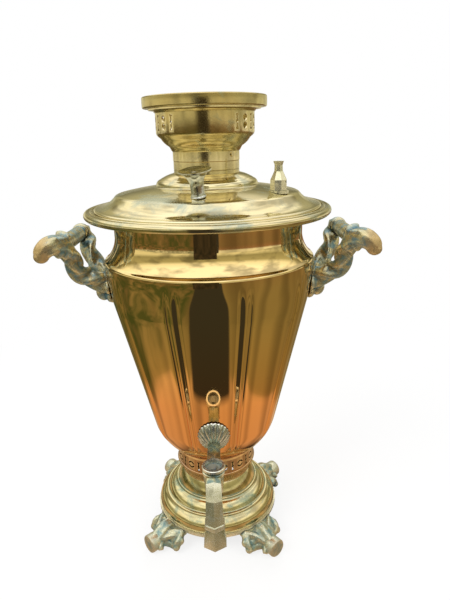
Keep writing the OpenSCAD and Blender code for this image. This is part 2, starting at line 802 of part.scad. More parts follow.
function crown_line() = concat(
    [[crown_foot_r, crown_z], [crown_foot_r, crown_flare_z - 1],
     [crown_foot_r + 1, crown_flare_z]],
    bow([crown_foot_r + 3, crown_flare_z + 0.22 * crown_flare_h],
        [crown_r - 4.3, crown_wall_z - 0.3 * crown_flare_h], 0.8, 3),
    bow([crown_r - 1.6, crown_wall_z - 3], [crown_r, crown_wall_z], 0.3, 2),
    [[crown_r, crown_step_z]],
    bow([crown_r + 0.8, crown_step_z + 0.6], [crown_r + 3.2, crown_rim_z - 2 * sheet - seam - 0.3],
        -0.4, 2),
    [[crown_r + 4.6, crown_rim_z - 2 * sheet - seam], [crown_r + 6.6, crown_rim_z - 2 * sheet - seam]]);

module crown() {
    step = 360 / crown_cuts;
    cut_z = crown_wall_z + crown_wall_h / 2;
    half = (crown_group - 1) / 2;
    color(dark_brass) difference() {
        spun(crown_line(), sheet);
        for (side = [0, 180], i = [-half:half])
            rotate([0, 0, side + i * step]) translate([0, 0, cut_z])
                if (abs(i) % 2 == half % 2) slot_cut(crown_r, crown_cut_h, 1.7);
                else for (s = [-1, 1]) translate([crown_r - 6, 0, s * crown_cut_h / 4])
                    rotate([0, 90, 0])
                        cylinder(r = crown_cut_h / 4 - 0.5, h = 12, $fn = small_fn);
        rivet_hole();
    }
}

// Level ledge for the teapot, and the rim band round it
module crown_rim() {
    color(dark_brass) rotate_extrude() polygon([
        [crown_r + 1.6, crown_rim_z - sheet], [crown_rim_r - 0.4, crown_rim_z - sheet],
        [crown_rim_r, crown_rim_z], [crown_rim_r, crown_top_z - 0.8],
        [crown_rim_r - 0.6, crown_top_z], [crown_rim_r - sheet, crown_top_z],
        [crown_rim_r - sheet, crown_rim_z], [crown_r + 1.6, crown_rim_z]
    ]);
}

rivet_r = 1.2;
rivet_turn = 50;

// Rivet hole through the seam of the crown's foot
module rivet_hole() {
    rotate([0, 0, rivet_turn - 90]) translate([crown_foot_r - 5, 0, crown_z + 0.6 * crown_foot_h])
        rotate([0, 90, 0]) cylinder(r = rivet_r + seam, h = 10, $fn = small_fn);
}

module crown_rivet() {
    color(brass) rotate([0, 0, rivet_turn - 90])
        translate([crown_foot_r, 0, crown_z + 0.6 * crown_foot_h]) rotate([0, 90, 0]) {
            translate([0, 0, -sheet - 0.4]) cylinder(r = rivet_r, h = sheet + 0.6, $fn = small_fn);
            translate([0, 0, 0.15]) cylinder(r = 2 * rivet_r, h = 0.9, $fn = small_fn);
        }
}

// ---------------------------------------------------------------- tap

tube_from = tank_r(tap_z + tap_tube_r) + 0.5;
barrel_top_z = tap_z + barrel_up;
barrel_low_z = tap_z - barrel_down;
plug_top_z = barrel_top_z - plug_sink;
water_z = tap_z - water_drop;
shank_in = tank_r(tap_z) - wall - 13;

// Places its children on the wall at height z, with Z square to it and Y up it
module on_wall(z) {
    translate([0, -tank_r(z), z]) rotate([90 + slope, 0, 0]) children();
}

module tap_shell() {
    ribs = 13;
    ball = 46;
    rise = 6.5;
    centre = shell_h * 0.52;
    edge = [for (i = [0:47])
        let (a = 7.5 * i, k = 1 + 0.03 * cos(24 * a))
        [shell_w * cos(a) * k, centre + shell_h * sin(a) * k]];
    color("silver") difference() {
        on_wall(tap_z) difference() {
            intersection() {
                translate([0, 0, -3]) linear_extrude(3 + rise) polygon(edge);
                translate([0, centre * 0.8, rise - ball]) sphere(r = ball);
            }
            // grooves fan out from the tube and leave the ribs standing
            for (i = [0:ribs])
                rotate([0, 0, -42 + 264 * i / ribs]) translate([0, 0, rise - 0.3])
                    rotate([0, 8, 0]) rotate([45, 0, 0])
                        translate([0, -0.9, -0.9]) cube([2 * shell_h, 1.8, 1.8]);
        }
        tank_outside(seam);
        rod_out(tank_r(tap_z) - 20, tap_reach, tap_z, tap_tube_r + seam);
    }
}

// Six-sided slice of the spout, square to its run, leaning a from the upright
module spout_slice(y, z, a, r) {
    translate([0, -y, z]) rotate([-a, 0, 0]) rotate([0, 0, 30])
        cylinder(r = r, h = 0.1, $fn = 6, center = true);
}

spout_y = tap_reach + spout_out;
spout_z = tap_z - spout_drop;

module tap_body() {
    knee_y = spout_y - 5;
    knee_z = tap_z - 17;
    band_low = spout_z + 0.3 * spout_drop;
    color(patina) difference() {
        union() {
            rod_out(shank_in, tube_from + 1, tap_z, shank_r);
            translate([0, -tube_from, tap_z]) rotate([90, 0, 0]) rotate([0, 0, 30])
                cylinder(r = tap_tube_r, h = tap_reach - tube_from, $fn = 6);
            // barrel with its two rim beads
            translate([0, -tap_reach, 0]) turned([
                [plug_low_r + 2.2, barrel_low_z], [plug_top_r + 2, barrel_top_z - 9],
                [barrel_rim_r - 0.4, barrel_top_z - 8.6], [barrel_rim_r - 0.4, barrel_top_z - 6],
                [barrel_rim_r - 1.4, barrel_top_z - 5.4], [barrel_rim_r - 1.4, barrel_top_z - 3.4],
                [barrel_rim_r, barrel_top_z - 2.8], [barrel_rim_r, barrel_top_z - 0.6],
                [barrel_rim_r - 0.6, barrel_top_z]
            ]);
            // neck, knee, shaft, band and bell of the spout
            hull() {
                spout_slice(tap_reach + 6, water_z - 1, 90, tap_tube_r - 0.4);
                spout_slice(knee_y - 6.5, tap_z - 6, 60, spout_r - 0.6);
            }
            hull() {
                spout_slice(knee_y - 6.5, tap_z - 6, 60, spout_r - 0.6);
                spout_slice(knee_y, knee_z, 20, spout_r);
            }
            hull() {
                spout_slice(knee_y, knee_z, 20, spout_r);
                spout_slice(spout_y - 1.5, band_low + 4, 4, spout_r + 1);
            }
            hull() {
                spout_slice(spout_y - 1.5, band_low + 4, 4, spout_r + 2);
                spout_slice(spout_y - 1.2, band_low, 4, spout_r + 2.2);
            }
            hull() {
                spout_slice(spout_y - 1.2, band_low, 4, spout_r + 1);
                spout_slice(spout_y, spout_z, 0, mouth_tip_r);
            }
        }
        // taper for the plug
        translate([0, -tap_reach, 0]) plug_taper(barrel_low_z - 1, barrel_top_z + 1, plug_gap);
        // water way: shank, barrel, spout
        rod_out(shank_in - 1, knee_y - 3, water_z, water_r);
        translate([0, -knee_y + 2.5, tap_z - 6]) rotate([180 - spout_lean(), 0, 0])
            cylinder(r = channel_r, h = spout_drop, $fn = small_fn);
        translate([0, -spout_y, spout_z - 1])
            cylinder(r1 = mouth_tip_r - 3.2, r2 = channel_r - 0.5, h = 12, $fn = small_fn);
    }
}

function spout_lean() = atan2(7.5, spout_drop - 6);

// Solid taper of the plug, wider by gap, between two heights
module plug_taper(z0, z1, gap) {
    function r_at(z) = plug_low_r + (plug_top_r - plug_low_r)
        * (z - barrel_low_z) / (plug_top_z - barrel_low_z) + gap;
    turned([[r_at(z0), z0], [r_at(z1), z1]]);
}

stub_r = 3;
washer_t = 1.4;
nut_t = 4;

module tap_plug() {
    color(nickel) translate([0, -tap_reach, 0]) difference() {
        union() {
            plug_taper(barrel_low_z, plug_top_z, 0);
            // square tang for the lost key
            translate([-2.5, -4, plug_top_z - 1]) cube([5, 8, 3.2]);
            translate([0, 0, barrel_low_z - washer_t - nut_t - 2.5])
                cylinder(r = stub_r, h = washer_t + nut_t + 3.5, $fn = small_fn);
        }
        // water port, across the tap while it is shut
        translate([-20, 0, water_z]) rotate([0, 90, 0])
            cylinder(r = water_r, h = 40, $fn = small_fn);
    }
}

module tap_plug_washer() {
    z = barrel_low_z - 0.2 - washer_t;
    color(brass) translate([0, -tap_reach, 0])
        tube(plug_low_r + 1.4, stub_r + seam, z, z + washer_t);
}

module tap_plug_nut() {
    z = barrel_low_z - 0.3 - washer_t - nut_t;
    color(iron) translate([0, -tap_reach, z]) difference() {
        cylinder(r = 1.9 * stub_r, h = nut_t, $fn = 6);
        translate([0, 0, -1]) cylinder(r = stub_r + seam, h = nut_t + 2, $fn = small_fn);
    }
}

gasket_in = tank_r(tap_z - 9) - wall - 4;

module tap_gasket() {
    color(leather) difference() {
        intersection() {
            rod_out(gasket_in, gasket_in + 12, tap_z, shank_r + 3.5);
            tank_inside(seam);
        }
        rod_out(gasket_in - 1, gasket_in + 13, tap_z, shank_r + seam);
    }
}

module tap_shank_nut() {
    nut_l = 5;
    color(iron) difference() {
        rod_out(gasket_in - seam - nut_l, gasket_in - seam, tap_z, shank_r + 4, 6);
        rod_out(gasket_in - nut_l - 2, gasket_in + 1, tap_z, shank_r + seam);
    }
}

// ---------------------------------------------------------------- handles

socket_l = 10;

// Control points of the front arm and of the rear arm, with the radius at each
front_arm = [
    [shoulder_r - 3, -6, root_z - 6, arm_r + 4],
    [shoulder_r + 9, -13, root_z + 3, arm_r + 2.5],
    [grip_reach - 13, -21, root_z + 10, arm_r + 1.4],
    [grip_reach - 8, -29, root_z + 22, arm_r + 0.6],
    [grip_reach - 6, -grip_l / 2 - 3, grip_z - 8, arm_r + 0.4],
    [grip_reach + 1, -grip_l / 2 - 13, grip_z + 3, arm_r + 1]
];
rear_arm = [
    [shoulder_r - 3, 6, root_z - 6, arm_r + 3],
    [shoulder_r + 13, 14, root_z + 9, arm_r + 1],
    [grip_reach - 11, 25, root_z + 27, arm_r],
    [grip_reach - 6, grip_l / 2 + 4, grip_z - 6, arm_r],
    [grip_reach, grip_l / 2 + 9, grip_z, arm_r + 0.4]
];

// Arm along the control points P, with a round end, clear of the grip
module arm(P) {
    tip = P[len(P) - 1];
    difference() {
        union() {
            swept(smooth(P, 4), 14, 5, 0.05, 160);
            translate([tip[0], tip[1], tip[2]]) sphere(r = tip[3] + 0.4, $fn = small_fn);
        }
        translate([grip_reach, grip_l / 2 + seat_gap, grip_z]) rotate([90, 0, 0])
            cylinder(r = grip_r + 1.2, h = grip_l + 2 * seat_gap);
    }
}

// One cast handle on the right side: plate, two arms, head, sockets for the grip
module handle_casting() {
    color(patina) difference() {
        union() {
            arm(front_arm);
            arm(rear_arm);
            // the head of the front arm, and the knob in which it ends
            hull() {
                translate([grip_reach + 2, -grip_l / 2 - 14, grip_z + 4])
                    sphere(r = arm_r + 2, $fn = 24);
                translate([grip_reach + 8, -grip_l / 2 - 22, grip_z + 0.5])
                    sphere(r = arm_r + 1.4, $fn = 24);
                translate([grip_reach + 15.5, -grip_l / 2 - 22.5, grip_z - 6])
                    sphere(r = arm_knob_r + 1, $fn = 24);
            }
            for (s = [-1, 1])
                translate([grip_reach, s * (grip_l / 2 + seat_gap + 0.1 + socket_l / 2), grip_z])
                    rotate([90, 0, 0])
                        cylinder(r = grip_r + 2, h = socket_l, center = true, $fn = small_fn);
            // leaf-shaped plate against the wall
            translate([shoulder_r - 14, 0, root_z - 2]) rotate([0, 90, 0])
                cylinder(r = 20, h = 17, $fn = small_fn);
            // gusset under the arms
            hull() {
                translate([shoulder_r - 5, 0, root_z - 18]) sphere(r = 8, $fn = 24);
                translate([shoulder_r + 10, 0, root_z - 3]) sphere(r = 11, $fn = 24);
            }
        }
        tank_outside(seam);
        // room for the ribs of the tank under the plate
        for (i = [0:panels - 1]) up_wall(-90 + (i + 0.5) * 360 / panels, flute_low_z)
            translate([rib_rise - rib_r, 0, 0])
                cylinder(r = rib_r + 2 * seam, h = flute_l + 0.5, $fn = small_fn);
        translate([grip_reach, grip_l / 2 + 7, grip_z]) rotate([90, 0, 0])
            cylinder(r = rod_r + seam, h = grip_l + 14, $fn = small_fn);
    }
    color(patina) for (z = hole_z) translate([shoulder_r - 14, 0, z]) rotate([0, 90, 0])
        cylinder(r = stud_r, h = 14, $fn = small_fn);
}

module handle_right() { union() handle_casting(); }
module handle_left() { mirror([1, 0, 0]) handle_casting(); }

module grip(x) {
    line = concat(
        [[rod_r + seam, -grip_l / 2], [grip_r + 0.8, -grip_l / 2], [grip_r + 0.8, -grip_l / 2 + 2]],
        bow([grip_r - 0.4, -grip_l / 2 + 5], [grip_r - 0.4, grip_l / 2 - 5], 0.4),
        [[grip_r + 0.8, grip_l / 2 - 2], [grip_r + 0.8, grip_l / 2], [rod_r + seam, grip_l / 2]]);
    color("gainsboro") translate([x, 0, grip_z]) rotate([90, 0, 0])
        rotate_extrude() polygon(line);
}

module grip_right() { grip(grip_reach); }
module grip_left() { grip(-grip_reach); }

module grip_rods() {
    color(iron) for (x = [-grip_reach, grip_reach])
        translate([x, grip_l / 2 + 6.5, grip_z]) rotate([90, 0, 0])
            cylinder(r = rod_r, h = grip_l + 13, $fn = small_fn);
}

module handle_nuts() {
    nut_l = 4;
    color(iron) for (z = hole_z, s = [-1, 1]) {
        x = (z < taper_top_z ? tank_r(z) : taper_top_r + (shoulder_r - taper_top_r)
            * (z - taper_top_z) / (shoulder_z - taper_top_z)) - wall - 1.2;
        translate([s * (x - nut_l / 2), 0, z]) rotate([0, 90, 0]) difference() {
            cylinder(r = 2 * stud_r, h = nut_l, $fn = 6, center = true);
            cylinder(r = stud_r + seam, h = nut_l + 2, $fn = small_fn, center = true);
        }
    }
}

foot_front_left();
foot_front_right();
foot_back_left();
foot_back_right();
foot_screws();
base_frame();
base_pedestal();
neck_gallery();
tank_wall();
tank_mouth();
tank_floor();
fire_tube();
flue_tube();
fire_grate();
top_ring();
ring_sleeve();
lid_shell();
lid_collar();
lid_knob_front();
lid_knob_back();
lid_knob_nuts();
vent_seat();
vent_cap();
crown();
crown_rim();
crown_rivet();
tap_shell();
tap_body();
tap_plug();
tap_plug_washer();
tap_plug_nut();
tap_gasket();
tap_shank_nut();
handle_left();
handle_right();
grip_left();
grip_right();
grip_rods();
handle_nuts();
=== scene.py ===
# %% [markdown]
# # A charcoal samovar
# A samovar boils water for tea. Charcoal burns in a tube up its middle, the
# water stands round that tube, and the teapot keeps warm on the crown above.
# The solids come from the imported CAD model. This lesson dresses them: shapes
# that the CAD keeps plain get finer meshes, and every metal gets its finish.

# %% The frame and the lengths that everything shares
import bpy
import bmesh
from math import pi, sin, cos, tan, atan2, radians, degrees, hypot, exp, copysign
from mathutils import Vector, Matrix


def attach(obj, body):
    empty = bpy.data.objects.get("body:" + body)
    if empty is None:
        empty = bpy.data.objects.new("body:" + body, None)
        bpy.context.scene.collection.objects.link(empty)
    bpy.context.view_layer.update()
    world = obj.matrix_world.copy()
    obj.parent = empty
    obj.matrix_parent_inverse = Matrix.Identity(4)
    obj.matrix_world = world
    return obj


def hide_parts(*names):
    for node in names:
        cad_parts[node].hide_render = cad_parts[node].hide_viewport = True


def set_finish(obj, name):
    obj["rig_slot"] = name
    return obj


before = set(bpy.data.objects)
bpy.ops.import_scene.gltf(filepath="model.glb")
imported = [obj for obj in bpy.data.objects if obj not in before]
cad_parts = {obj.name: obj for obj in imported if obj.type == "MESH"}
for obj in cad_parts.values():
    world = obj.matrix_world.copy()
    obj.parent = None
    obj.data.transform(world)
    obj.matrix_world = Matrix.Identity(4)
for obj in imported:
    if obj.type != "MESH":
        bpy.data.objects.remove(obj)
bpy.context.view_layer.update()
MM = 0.001                      # outlines and places are written in millimetres
SAME_POINT = 2e-6               # points closer than this, in metres, become one
WIDE, PLAIN, SMALL = 256, 192, 64      # steps round a wide, a plain and a small spun piece

# %% [markdown]
# The camera comes first, because each shape is judged through it. It stands
# half a metre in front of the samovar's axis and looks down by eighteen
# degrees. Its lengths come from the ellipses of the lid, crown and base.

# %% Camera
CAMERA_PLACE = Vector((0, -0.5436, 0.4644))
CAMERA_DOWN, CAMERA_TURN, CAMERA_ROLL = radians(18.18), radians(1.66), radians(-1.39)
WALK_ROUND = radians(1.4)       # how far the camera has walked to the right of the tap
LENS, SENSOR, NEAREST = 30.39, 36, 0.02

def look_from_photo():
    """The camera at the photograph's place, with its lens."""
    down, turn, roll = CAMERA_DOWN, CAMERA_TURN, CAMERA_ROLL
    ahead = Vector((sin(turn) * cos(down), cos(turn) * cos(down), -sin(down)))
    right = Vector((cos(turn), -sin(turn), 0))
    up = right.cross(ahead)
    side = right * cos(roll) + up * sin(roll)
    top = up * cos(roll) - right * sin(roll)
    basis = Matrix((side, top, -ahead)).transposed().to_4x4()
    data = bpy.data.cameras.new("camera")
    data.lens, data.sensor_width, data.clip_start = LENS, SENSOR, NEAREST
    camera = bpy.data.objects.new("camera", data)
    camera.matrix_world = (Matrix.Rotation(WALK_ROUND, 4, "Z") @ Matrix.Translation(CAMERA_PLACE)
                           @ basis)
    bpy.context.collection.objects.link(camera)
    return camera

camera = look_from_photo()
bpy.context.scene.camera = camera
print("camera at", [round(c, 3) for c in camera.matrix_world.translation])

# %% [markdown]
# Most of a samovar is spun: sheet brass is pressed over a turning form. So a
# piece starts as half an outline, radius and height, and is spun round Z. Two
# helpers bend an outline, and a third finds the inner face of the sheet.

# %% Outlines
def bow(p, q, rise, n):
    """A shallow curve from p to q that stands `rise` to the right of its chord."""
    chord = Vector(q) - Vector(p)
    right = Vector((chord.y, -chord.x)).normalized()
    return [tuple(Vector(p) + chord * t + right * 4 * rise * t * (1 - t))
            for t in (i / n for i in range(n + 1))]

def arc(centre, r, start, end, n):
    """A round stretch from one angle to another, in degrees."""
    angles = [radians(start + (end - start) * i / n) for i in range(n + 1)]
    return [(centre[0] + r * cos(a), centre[1] + r * sin(a)) for a in angles]

def inset(line, wall):
    """The line again, `wall` to its left, which is inwards on an outline that rises."""
    out = []
    for i, p in enumerate(line):
        before, after = Vector(line[max(i - 1, 0)]), Vector(line[min(i + 1, len(line) - 1)])
        d = (after - before).normalized()
        out.append((p[0] - d.y * wall, p[1] + d.x * wall))
    return out

print("outline helpers: bow, arc, inset")

# %% [markdown]
# A bmesh becomes a piece in one place. There its double points go, its faces
# turn outwards, and edges sharper than a given angle stay sharp in the shading.
# The piece then rides on its body, stands in for its CAD nodes, and gets a slot.

# %% From a mesh to a finished piece
pieces = {}

def hand_over(mesh, name, body, nodes, slot):
    """Tells the frame which body a mesh rides on and which nodes it stands for."""
    piece = bpy.data.objects.new(name, mesh)
    bpy.context.collection.objects.link(piece)
    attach(piece, body)
    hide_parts(*nodes)
    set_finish(piece, slot)
    pieces[name] = piece
    print(name, len(mesh.polygons), "faces")

def finish_piece(bm, name, body, nodes, slot, crease):
    """Cleans a mesh, shades it smooth up to `crease` degrees and hands it over."""
    bmesh.ops.remove_doubles(bm, verts=bm.verts, dist=SAME_POINT)
    bmesh.ops.recalc_face_normals(bm, faces=bm.faces)
    for f in bm.faces:
        f.smooth = True
    for e in bm.edges:
        e.smooth = len(e.link_faces) != 2 or e.calc_face_angle(0) < radians(crease)
    mesh = bpy.data.meshes.new(name)
    bm.to_mesh(mesh)
    bm.free()
    hand_over(mesh, name, body, nodes, slot)

def spun(section, steps):
    """Spins a closed section round Z."""
    bm = bmesh.new()
    ring = [bm.verts.new((r * MM, 0, z * MM)) for r, z in section]
    edges = [bm.edges.new((a, b)) for a, b in zip(ring, ring[1:] + ring[:1])]
    bmesh.ops.spin(bm, geom=ring + edges, cent=(0, 0, 0), axis=(0, 0, 1),
                   angle=2 * pi, steps=steps, use_merge=True)
    bmesh.ops.remove_doubles(bm, verts=bm.verts, dist=SAME_POINT)
    return bm

# %% [markdown]
# ## The tank
# The tank is one sheet that tapers to a small foot. Ten flat panels were
# pressed into it, and a round rib between two grooves stands where they meet.
# Ribs fade out towards the shoulder. A mirror finish shows each of them as a
# bent reflection, so they are real geometry here and not only a bump.

# %% Tank outline
TANK_HOLE, TANK_FOOT, TAPER_LOW, TAPER_TOP = (43.6, 107.6), (48, 107.6), (72.5, 141.1), (108.5, 295.1)
SHOULDER, MOUTH, MOUTH_TOP = (112.6, 338.1), (99.8, 363.1), (99.8, 390.1)
TANK_WALL, SHOULDER_ROLL = 1.6, 3.4
slope = atan2(TAPER_TOP[0] - TAPER_LOW[0], TAPER_TOP[1] - TAPER_LOW[1])

def tank_r(z):
    """Radius of the straight taper at a height."""
    return TAPER_LOW[0] + (z - TAPER_LOW[1]) * tan(slope)

tank_outer = ([TANK_HOLE] + bow(TANK_FOOT, TAPER_LOW, 2.4, 16)
              + [(tank_r(z), z) for z in (146, 160, 185, 210, 235, 260, 275, 282, 288)]
              + bow(TAPER_TOP, SHOULDER, 0.9, 16)
              + arc((SHOULDER[0] - SHOULDER_ROLL, SHOULDER[1]), SHOULDER_ROLL, 8, 46, 5)
              + bow((109.9, 341.4), MOUTH, -2, 14)
              + [(MOUTH[0], 370), (MOUTH[0], 380), MOUTH_TOP])
tank_inner = inset([TANK_HOLE, TANK_FOOT, (58, 117), (66.5, 128), TAPER_LOW, TAPER_TOP,
                    (112.1, 325), SHOULDER, (110.6, 341.6), (105, 349.5), (101.2, 356),
                    MOUTH, MOUTH_TOP], TANK_WALL)
print("the tank leans", round(degrees(slope), 1), "degrees from upright")

# %% [markdown]
# The press is a formula. It takes the turn from the nearest rib, adds a rib, a
# groove on each side of it and a hollow between, and fades out above and below.

# %% Tank with its ribs and panels
PANELS = 10
PITCH = 360 / PANELS                    # degrees from rib to rib; a panel faces the tap
RIB, RIB_SPREAD = 0.9, 1.15             # mm out, degrees wide
GROOVE, GROOVE_AT, GROOVE_SPREAD = -1.0, 2.65, 1.0
PANEL_HOLLOW = -1.2                     # how deep the middle of a panel lies
PRESS_FROM, PRESS_FULL = 126, 142       # heights between which the press grows
PRESS_FADES, PRESS_ENDS = 310, 334
TANK_STEPS = 1080                       # fine enough for the ribs

def press_panels(x, y, z):
    """How far the press moved the wall in (-) or out (+) at this place, in mm."""
    fade = (min(max((z - PRESS_FROM) / (PRESS_FULL - PRESS_FROM), 0), 1)
            * min(max((PRESS_ENDS - z) / (PRESS_ENDS - PRESS_FADES), 0), 1))
    fade = fade * fade * (3 - 2 * fade)
    turn = (degrees(atan2(x, -y)) - PITCH / 2) % PITCH
    off = turn - PITCH if turn > PITCH / 2 else turn        # degrees from the nearest rib
    rib = RIB * exp(-(off / RIB_SPREAD) ** 2)
    groove = GROOVE * exp(-((abs(off) - GROOVE_AT) / GROOVE_SPREAD) ** 2)
    hollow = PANEL_HOLLOW * (0.5 - 0.5 * cos(radians(off * PANELS)))
    return fade * (rib + groove + hollow)

bm = spun(tank_outer + tank_inner[::-1], TANK_STEPS)
for v in bm.verts:
    x, y, z = v.co / MM
    grown = 1 + press_panels(x, y, z) / hypot(x, y)
    v.co.x *= grown
    v.co.y *= grown
finish_piece(bm, "tank_panels", "samovar", ["tank_wall", "tank_mouth"], "brass_tank", 60)

# %% [markdown]
# ## The spun parts of the base and the top
# The pedestal is a stack of rolls with a wire bead in each groove. The real
# one is pressed and then burnished, so the grooves keep the green tarnish, which
# is darkened further as painted shade.

# %% Pedestal
SHEET = 1.4                             # wall of the pedestal and the lid

def sheet_of(line):
    """The closed section of a sheet whose outer face is `line`."""
    return list(line) + list(reversed(inset(line, SHEET)))

pedestal_outer = (bow((71, 24.7), (72, 29.9), 0.4, 5) + bow((72, 29.9), (65.2, 40.2), 1.5, 14)[1:]
                  + [(64.6, 41.0), (63.9, 41.5)] + arc((62.3, 42.7), 1.5, -30, 120, 9)
                  + [(60.6, 44.4), (60.1, 44.9)] + bow((59.7, 45.5), (51.2, 53.6), 1.4, 14)
                  + [(50.7, 54.1), (50.2, 54.4)] + arc((48.9, 55.8), 1.3, -40, 120, 8)
                  + [(47.8, 57.2), (47.7, 57.8)] + bow((47.5, 58.6), (41.5, 72.0), 0.6, 14))
finish_piece(spun(sheet_of(pedestal_outer), WIDE), "pedestal_rolls", "samovar",
             ["base_pedestal"], "brass_base", 50)

# %% [markdown]
# A flat ring closes the tank. Its edge is rolled round a wire, which makes the
# thick round rim that catches the light. A small bead runs inside it.

# %% Top ring with its wired edge
ring_section = ([(96.7, 390.2), (110, 390.2), (118, 390.2), (121.4, 389.6)]
                + arc((125.2, 388.7), 3.8, -170, 92, 22)
                + [(123.7, 392.0), (122.9, 391.9)] + arc((121.3, 391.9), 1.2, 0, 180, 8)
                + [(119.7, 391.8), (108, 391.8), (96.7, 391.8)])
finish_piece(spun(ring_section, WIDE), "wired_ring", "samovar", ["top_ring"], "brass_lid", 50)

# %% [markdown]
# The lid is a low dome in steps, open in the middle for the flue. A skirt on
# its under side keeps it on the tank. Dome and skirt are two spun sheets that
# touch, so they are spun apart and put into one mesh.

# %% Lid with its skirt
LID_FLAT_OUT, LID_FLAT_IN, LID_FLAT_Z = 90.7, 54.9, 407.8      # the wide step, where the knobs stand
LID_BULGE = 0.45

def together(*meshes):
    """One mesh from several."""
    whole = meshes[0]
    for other in meshes[1:]:
        held = bpy.data.meshes.new("held")
        other.to_mesh(held)
        other.free()
        whole.from_mesh(held)
        bpy.data.meshes.remove(held)
    return whole

lid_outer = ([(118.3, 392.1), (118.4, 393.0), (118.0, 394.0)]
             + bow((117.0, 394.6), (97.3, 404.4), -2.3, 16)
             + [(96.6, 405.2), (95.6, 406.2), (94.2, 406.9), (92.6, 407.4)]
             + bow((LID_FLAT_OUT, LID_FLAT_Z), (LID_FLAT_IN, 413.7), LID_BULGE, 14)
             + [(54.1, 414.0), (53.6, 414.5)]
             + bow((53.2, 415.1), (48.4, 420.8), 1.2, 9) + [(47.7, 421.5), (47.0, 421.9)]
             + bow((46.2, 422.2), (34.8, 426.5), 0.5, 8))
skirt = [(96.1, 383.8), (96.1, 403.6), (94.7, 403.6), (94.7, 383.8)]
finish_piece(together(spun(sheet_of(lid_outer), WIDE), spun(skirt, PLAIN)),
             "lid_dome", "lid", ["lid_shell"], "brass_lid", 50)

# %% [markdown]
# Two plain bands: the collar, through which the flue comes up, with one fine
# turned groove, and the rolled band round the top of the crown.

# %% Collar and the crown's rim band
collar_section = [(30, 420.6), (37, 420.6), (37, 422.2), (34.0, 422.2), (34.0, 429.6), (33.7, 429.9),
                  (33.7, 430.4), (34.0, 430.7), (34.0, 438.3), (33.6, 438.8), (32, 438.8),
                  (32, 445.8), (30, 445.8)]
rim_section = ([(51.6, 489.2), (56, 489.2), (60.9, 489.2)] + arc((60.9, 490.7), 1.5, -90, 0, 6)
               + bow((62.4, 491.4), (62.4, 498.2), 0.12, 6) + arc((61.2, 498.8), 1.2, 0, 100, 6)
               + [(61.0, 499.2), (61.0, 490.7), (56, 490.6), (51.6, 490.6)])
finish_piece(spun(collar_section, PLAIN), "collar", "lid", ["lid_collar"], "brass_crown", 30)
finish_piece(spun(rim_section, WIDE), "crown_rim_band", "crown", ["crown_rim"], "brass_crown", 40)

# %% [markdown]
# ## The small turned fittings
# Two trumpet-shaped knobs lift the lid. Their feet stand square on the slope of
# the lid, so each is spun upright first, then leaned and put in its place.

# %% Knobs on the lid
KNOB_REACH, KNOB_LEAN, KNOB_TURN = 78, 5, -4.6      # mm from the axis, and two angles
LID_RISE, LID_RUN, SINK = 6.1, 36.7, 0.1            # slope of the wide step; a foot sinks in a little

def moved(bm, matrix):
    bmesh.ops.transform(bm, matrix=matrix, verts=bm.verts)
    return bm

def lid_top(r):
    """Height of the lid's wide step at a radius."""
    t = (LID_FLAT_OUT - r) / LID_RUN
    return LID_FLAT_Z - SINK + LID_RISE * t + 4 * LID_BULGE * t * (1 - t)

def on_lid(turn, reach, lean):
    """From upright at the origin to square on the lid's slope."""
    return (Matrix.Rotation(radians(turn - 90), 4, "Z")
            @ Matrix.Translation((reach * MM, 0, lid_top(reach) * MM))
            @ Matrix.Rotation(atan2(LID_RISE, LID_RUN), 4, "Y")
            @ Matrix.Rotation(radians(lean), 4, "X"))

knob_outline = ([(0, -8.6), (3, -8.6), (3, 0.3), (7.3, 0.3), (7.3, 1.0), (6.5, 1.9), (6.2, 4.5)]
                + bow((6.3, 8), (14.0, 23.2), -2.7, 12)
                + [(14.8, 23.6), (15, 24.3), (14.8, 24.9), (14.2, 25.0), (12.6, 24.3),
                   (8, 23.5), (4.2, 23.3), (3.4, 23.8), (2.2, 24.2), (0, 24.3)])
for side, turn in (("front", KNOB_TURN), ("back", KNOB_TURN + 180)):
    bm = moved(spun(knob_outline, SMALL), on_lid(turn, KNOB_REACH, KNOB_LEAN))
    finish_piece(bm, "trumpet_knob_" + side, "lid", ["lid_knob_" + side], "nickel_patina", 40)

# %% [markdown]
# Each grip is turned, with beads at both ends, and runs on a steel rod between
# the arms of its handle. It is spun upright and then laid along Y.

# %% Grips
GRIP_X, GRIP_Z = 148, 360.6
bead_up = [(8.3, 28.2), (9.0, 28.9), (9.0, 29.7), (8.5, 30.2), (8.5, 31.3), (9.2, 31.9),
           (9.2, 33.4), (8.6, 33.9), (2.6, 33.9)]
bead_down = [(r, -z) for r, z in reversed(bead_up)]
grip_outline = bead_down + bow((8.0, -27), (8.0, 27), 0.4, 10) + bead_up
for side, s in (("left", -1), ("right", 1)):
    laid = Matrix.Translation((s * GRIP_X * MM, 0, GRIP_Z * MM)) @ Matrix.Rotation(pi / 2, 4, "X")
    finish_piece(moved(spun(grip_outline, SMALL), laid), "turned_grip_" + side, "samovar",
                 ["grip_" + side], "handle_patina", 35)

# %% [markdown]
# ## Castings with leaves
# Handles and feet were cast from carved patterns: leaf-wrapped arms that twist
# and swell. Such a form has no outline to spin. A lobed tube is run along each
# limb by a curve, whose radius and tilt change on the way; leaf lobes are laid
# over it; then a voxel remesh melts all of it into one skin, as wax would be.

# %% Limbs
ROUND_SIDES, LOBE_SIDES = 20, 8         # points round a plain limb, and on each lobe
WAY_STEPS = 6                           # from one given point of a limb to the next

def between(a, b, c, d, t):
    """A point from b to c on the smooth curve that runs through a, b, c and d."""
    return 0.5 * (2 * b + (c - a) * t + (2 * a - 5 * b + 4 * c - d) * t * t
                  + (3 * b - a - 3 * c + d) * t ** 3)

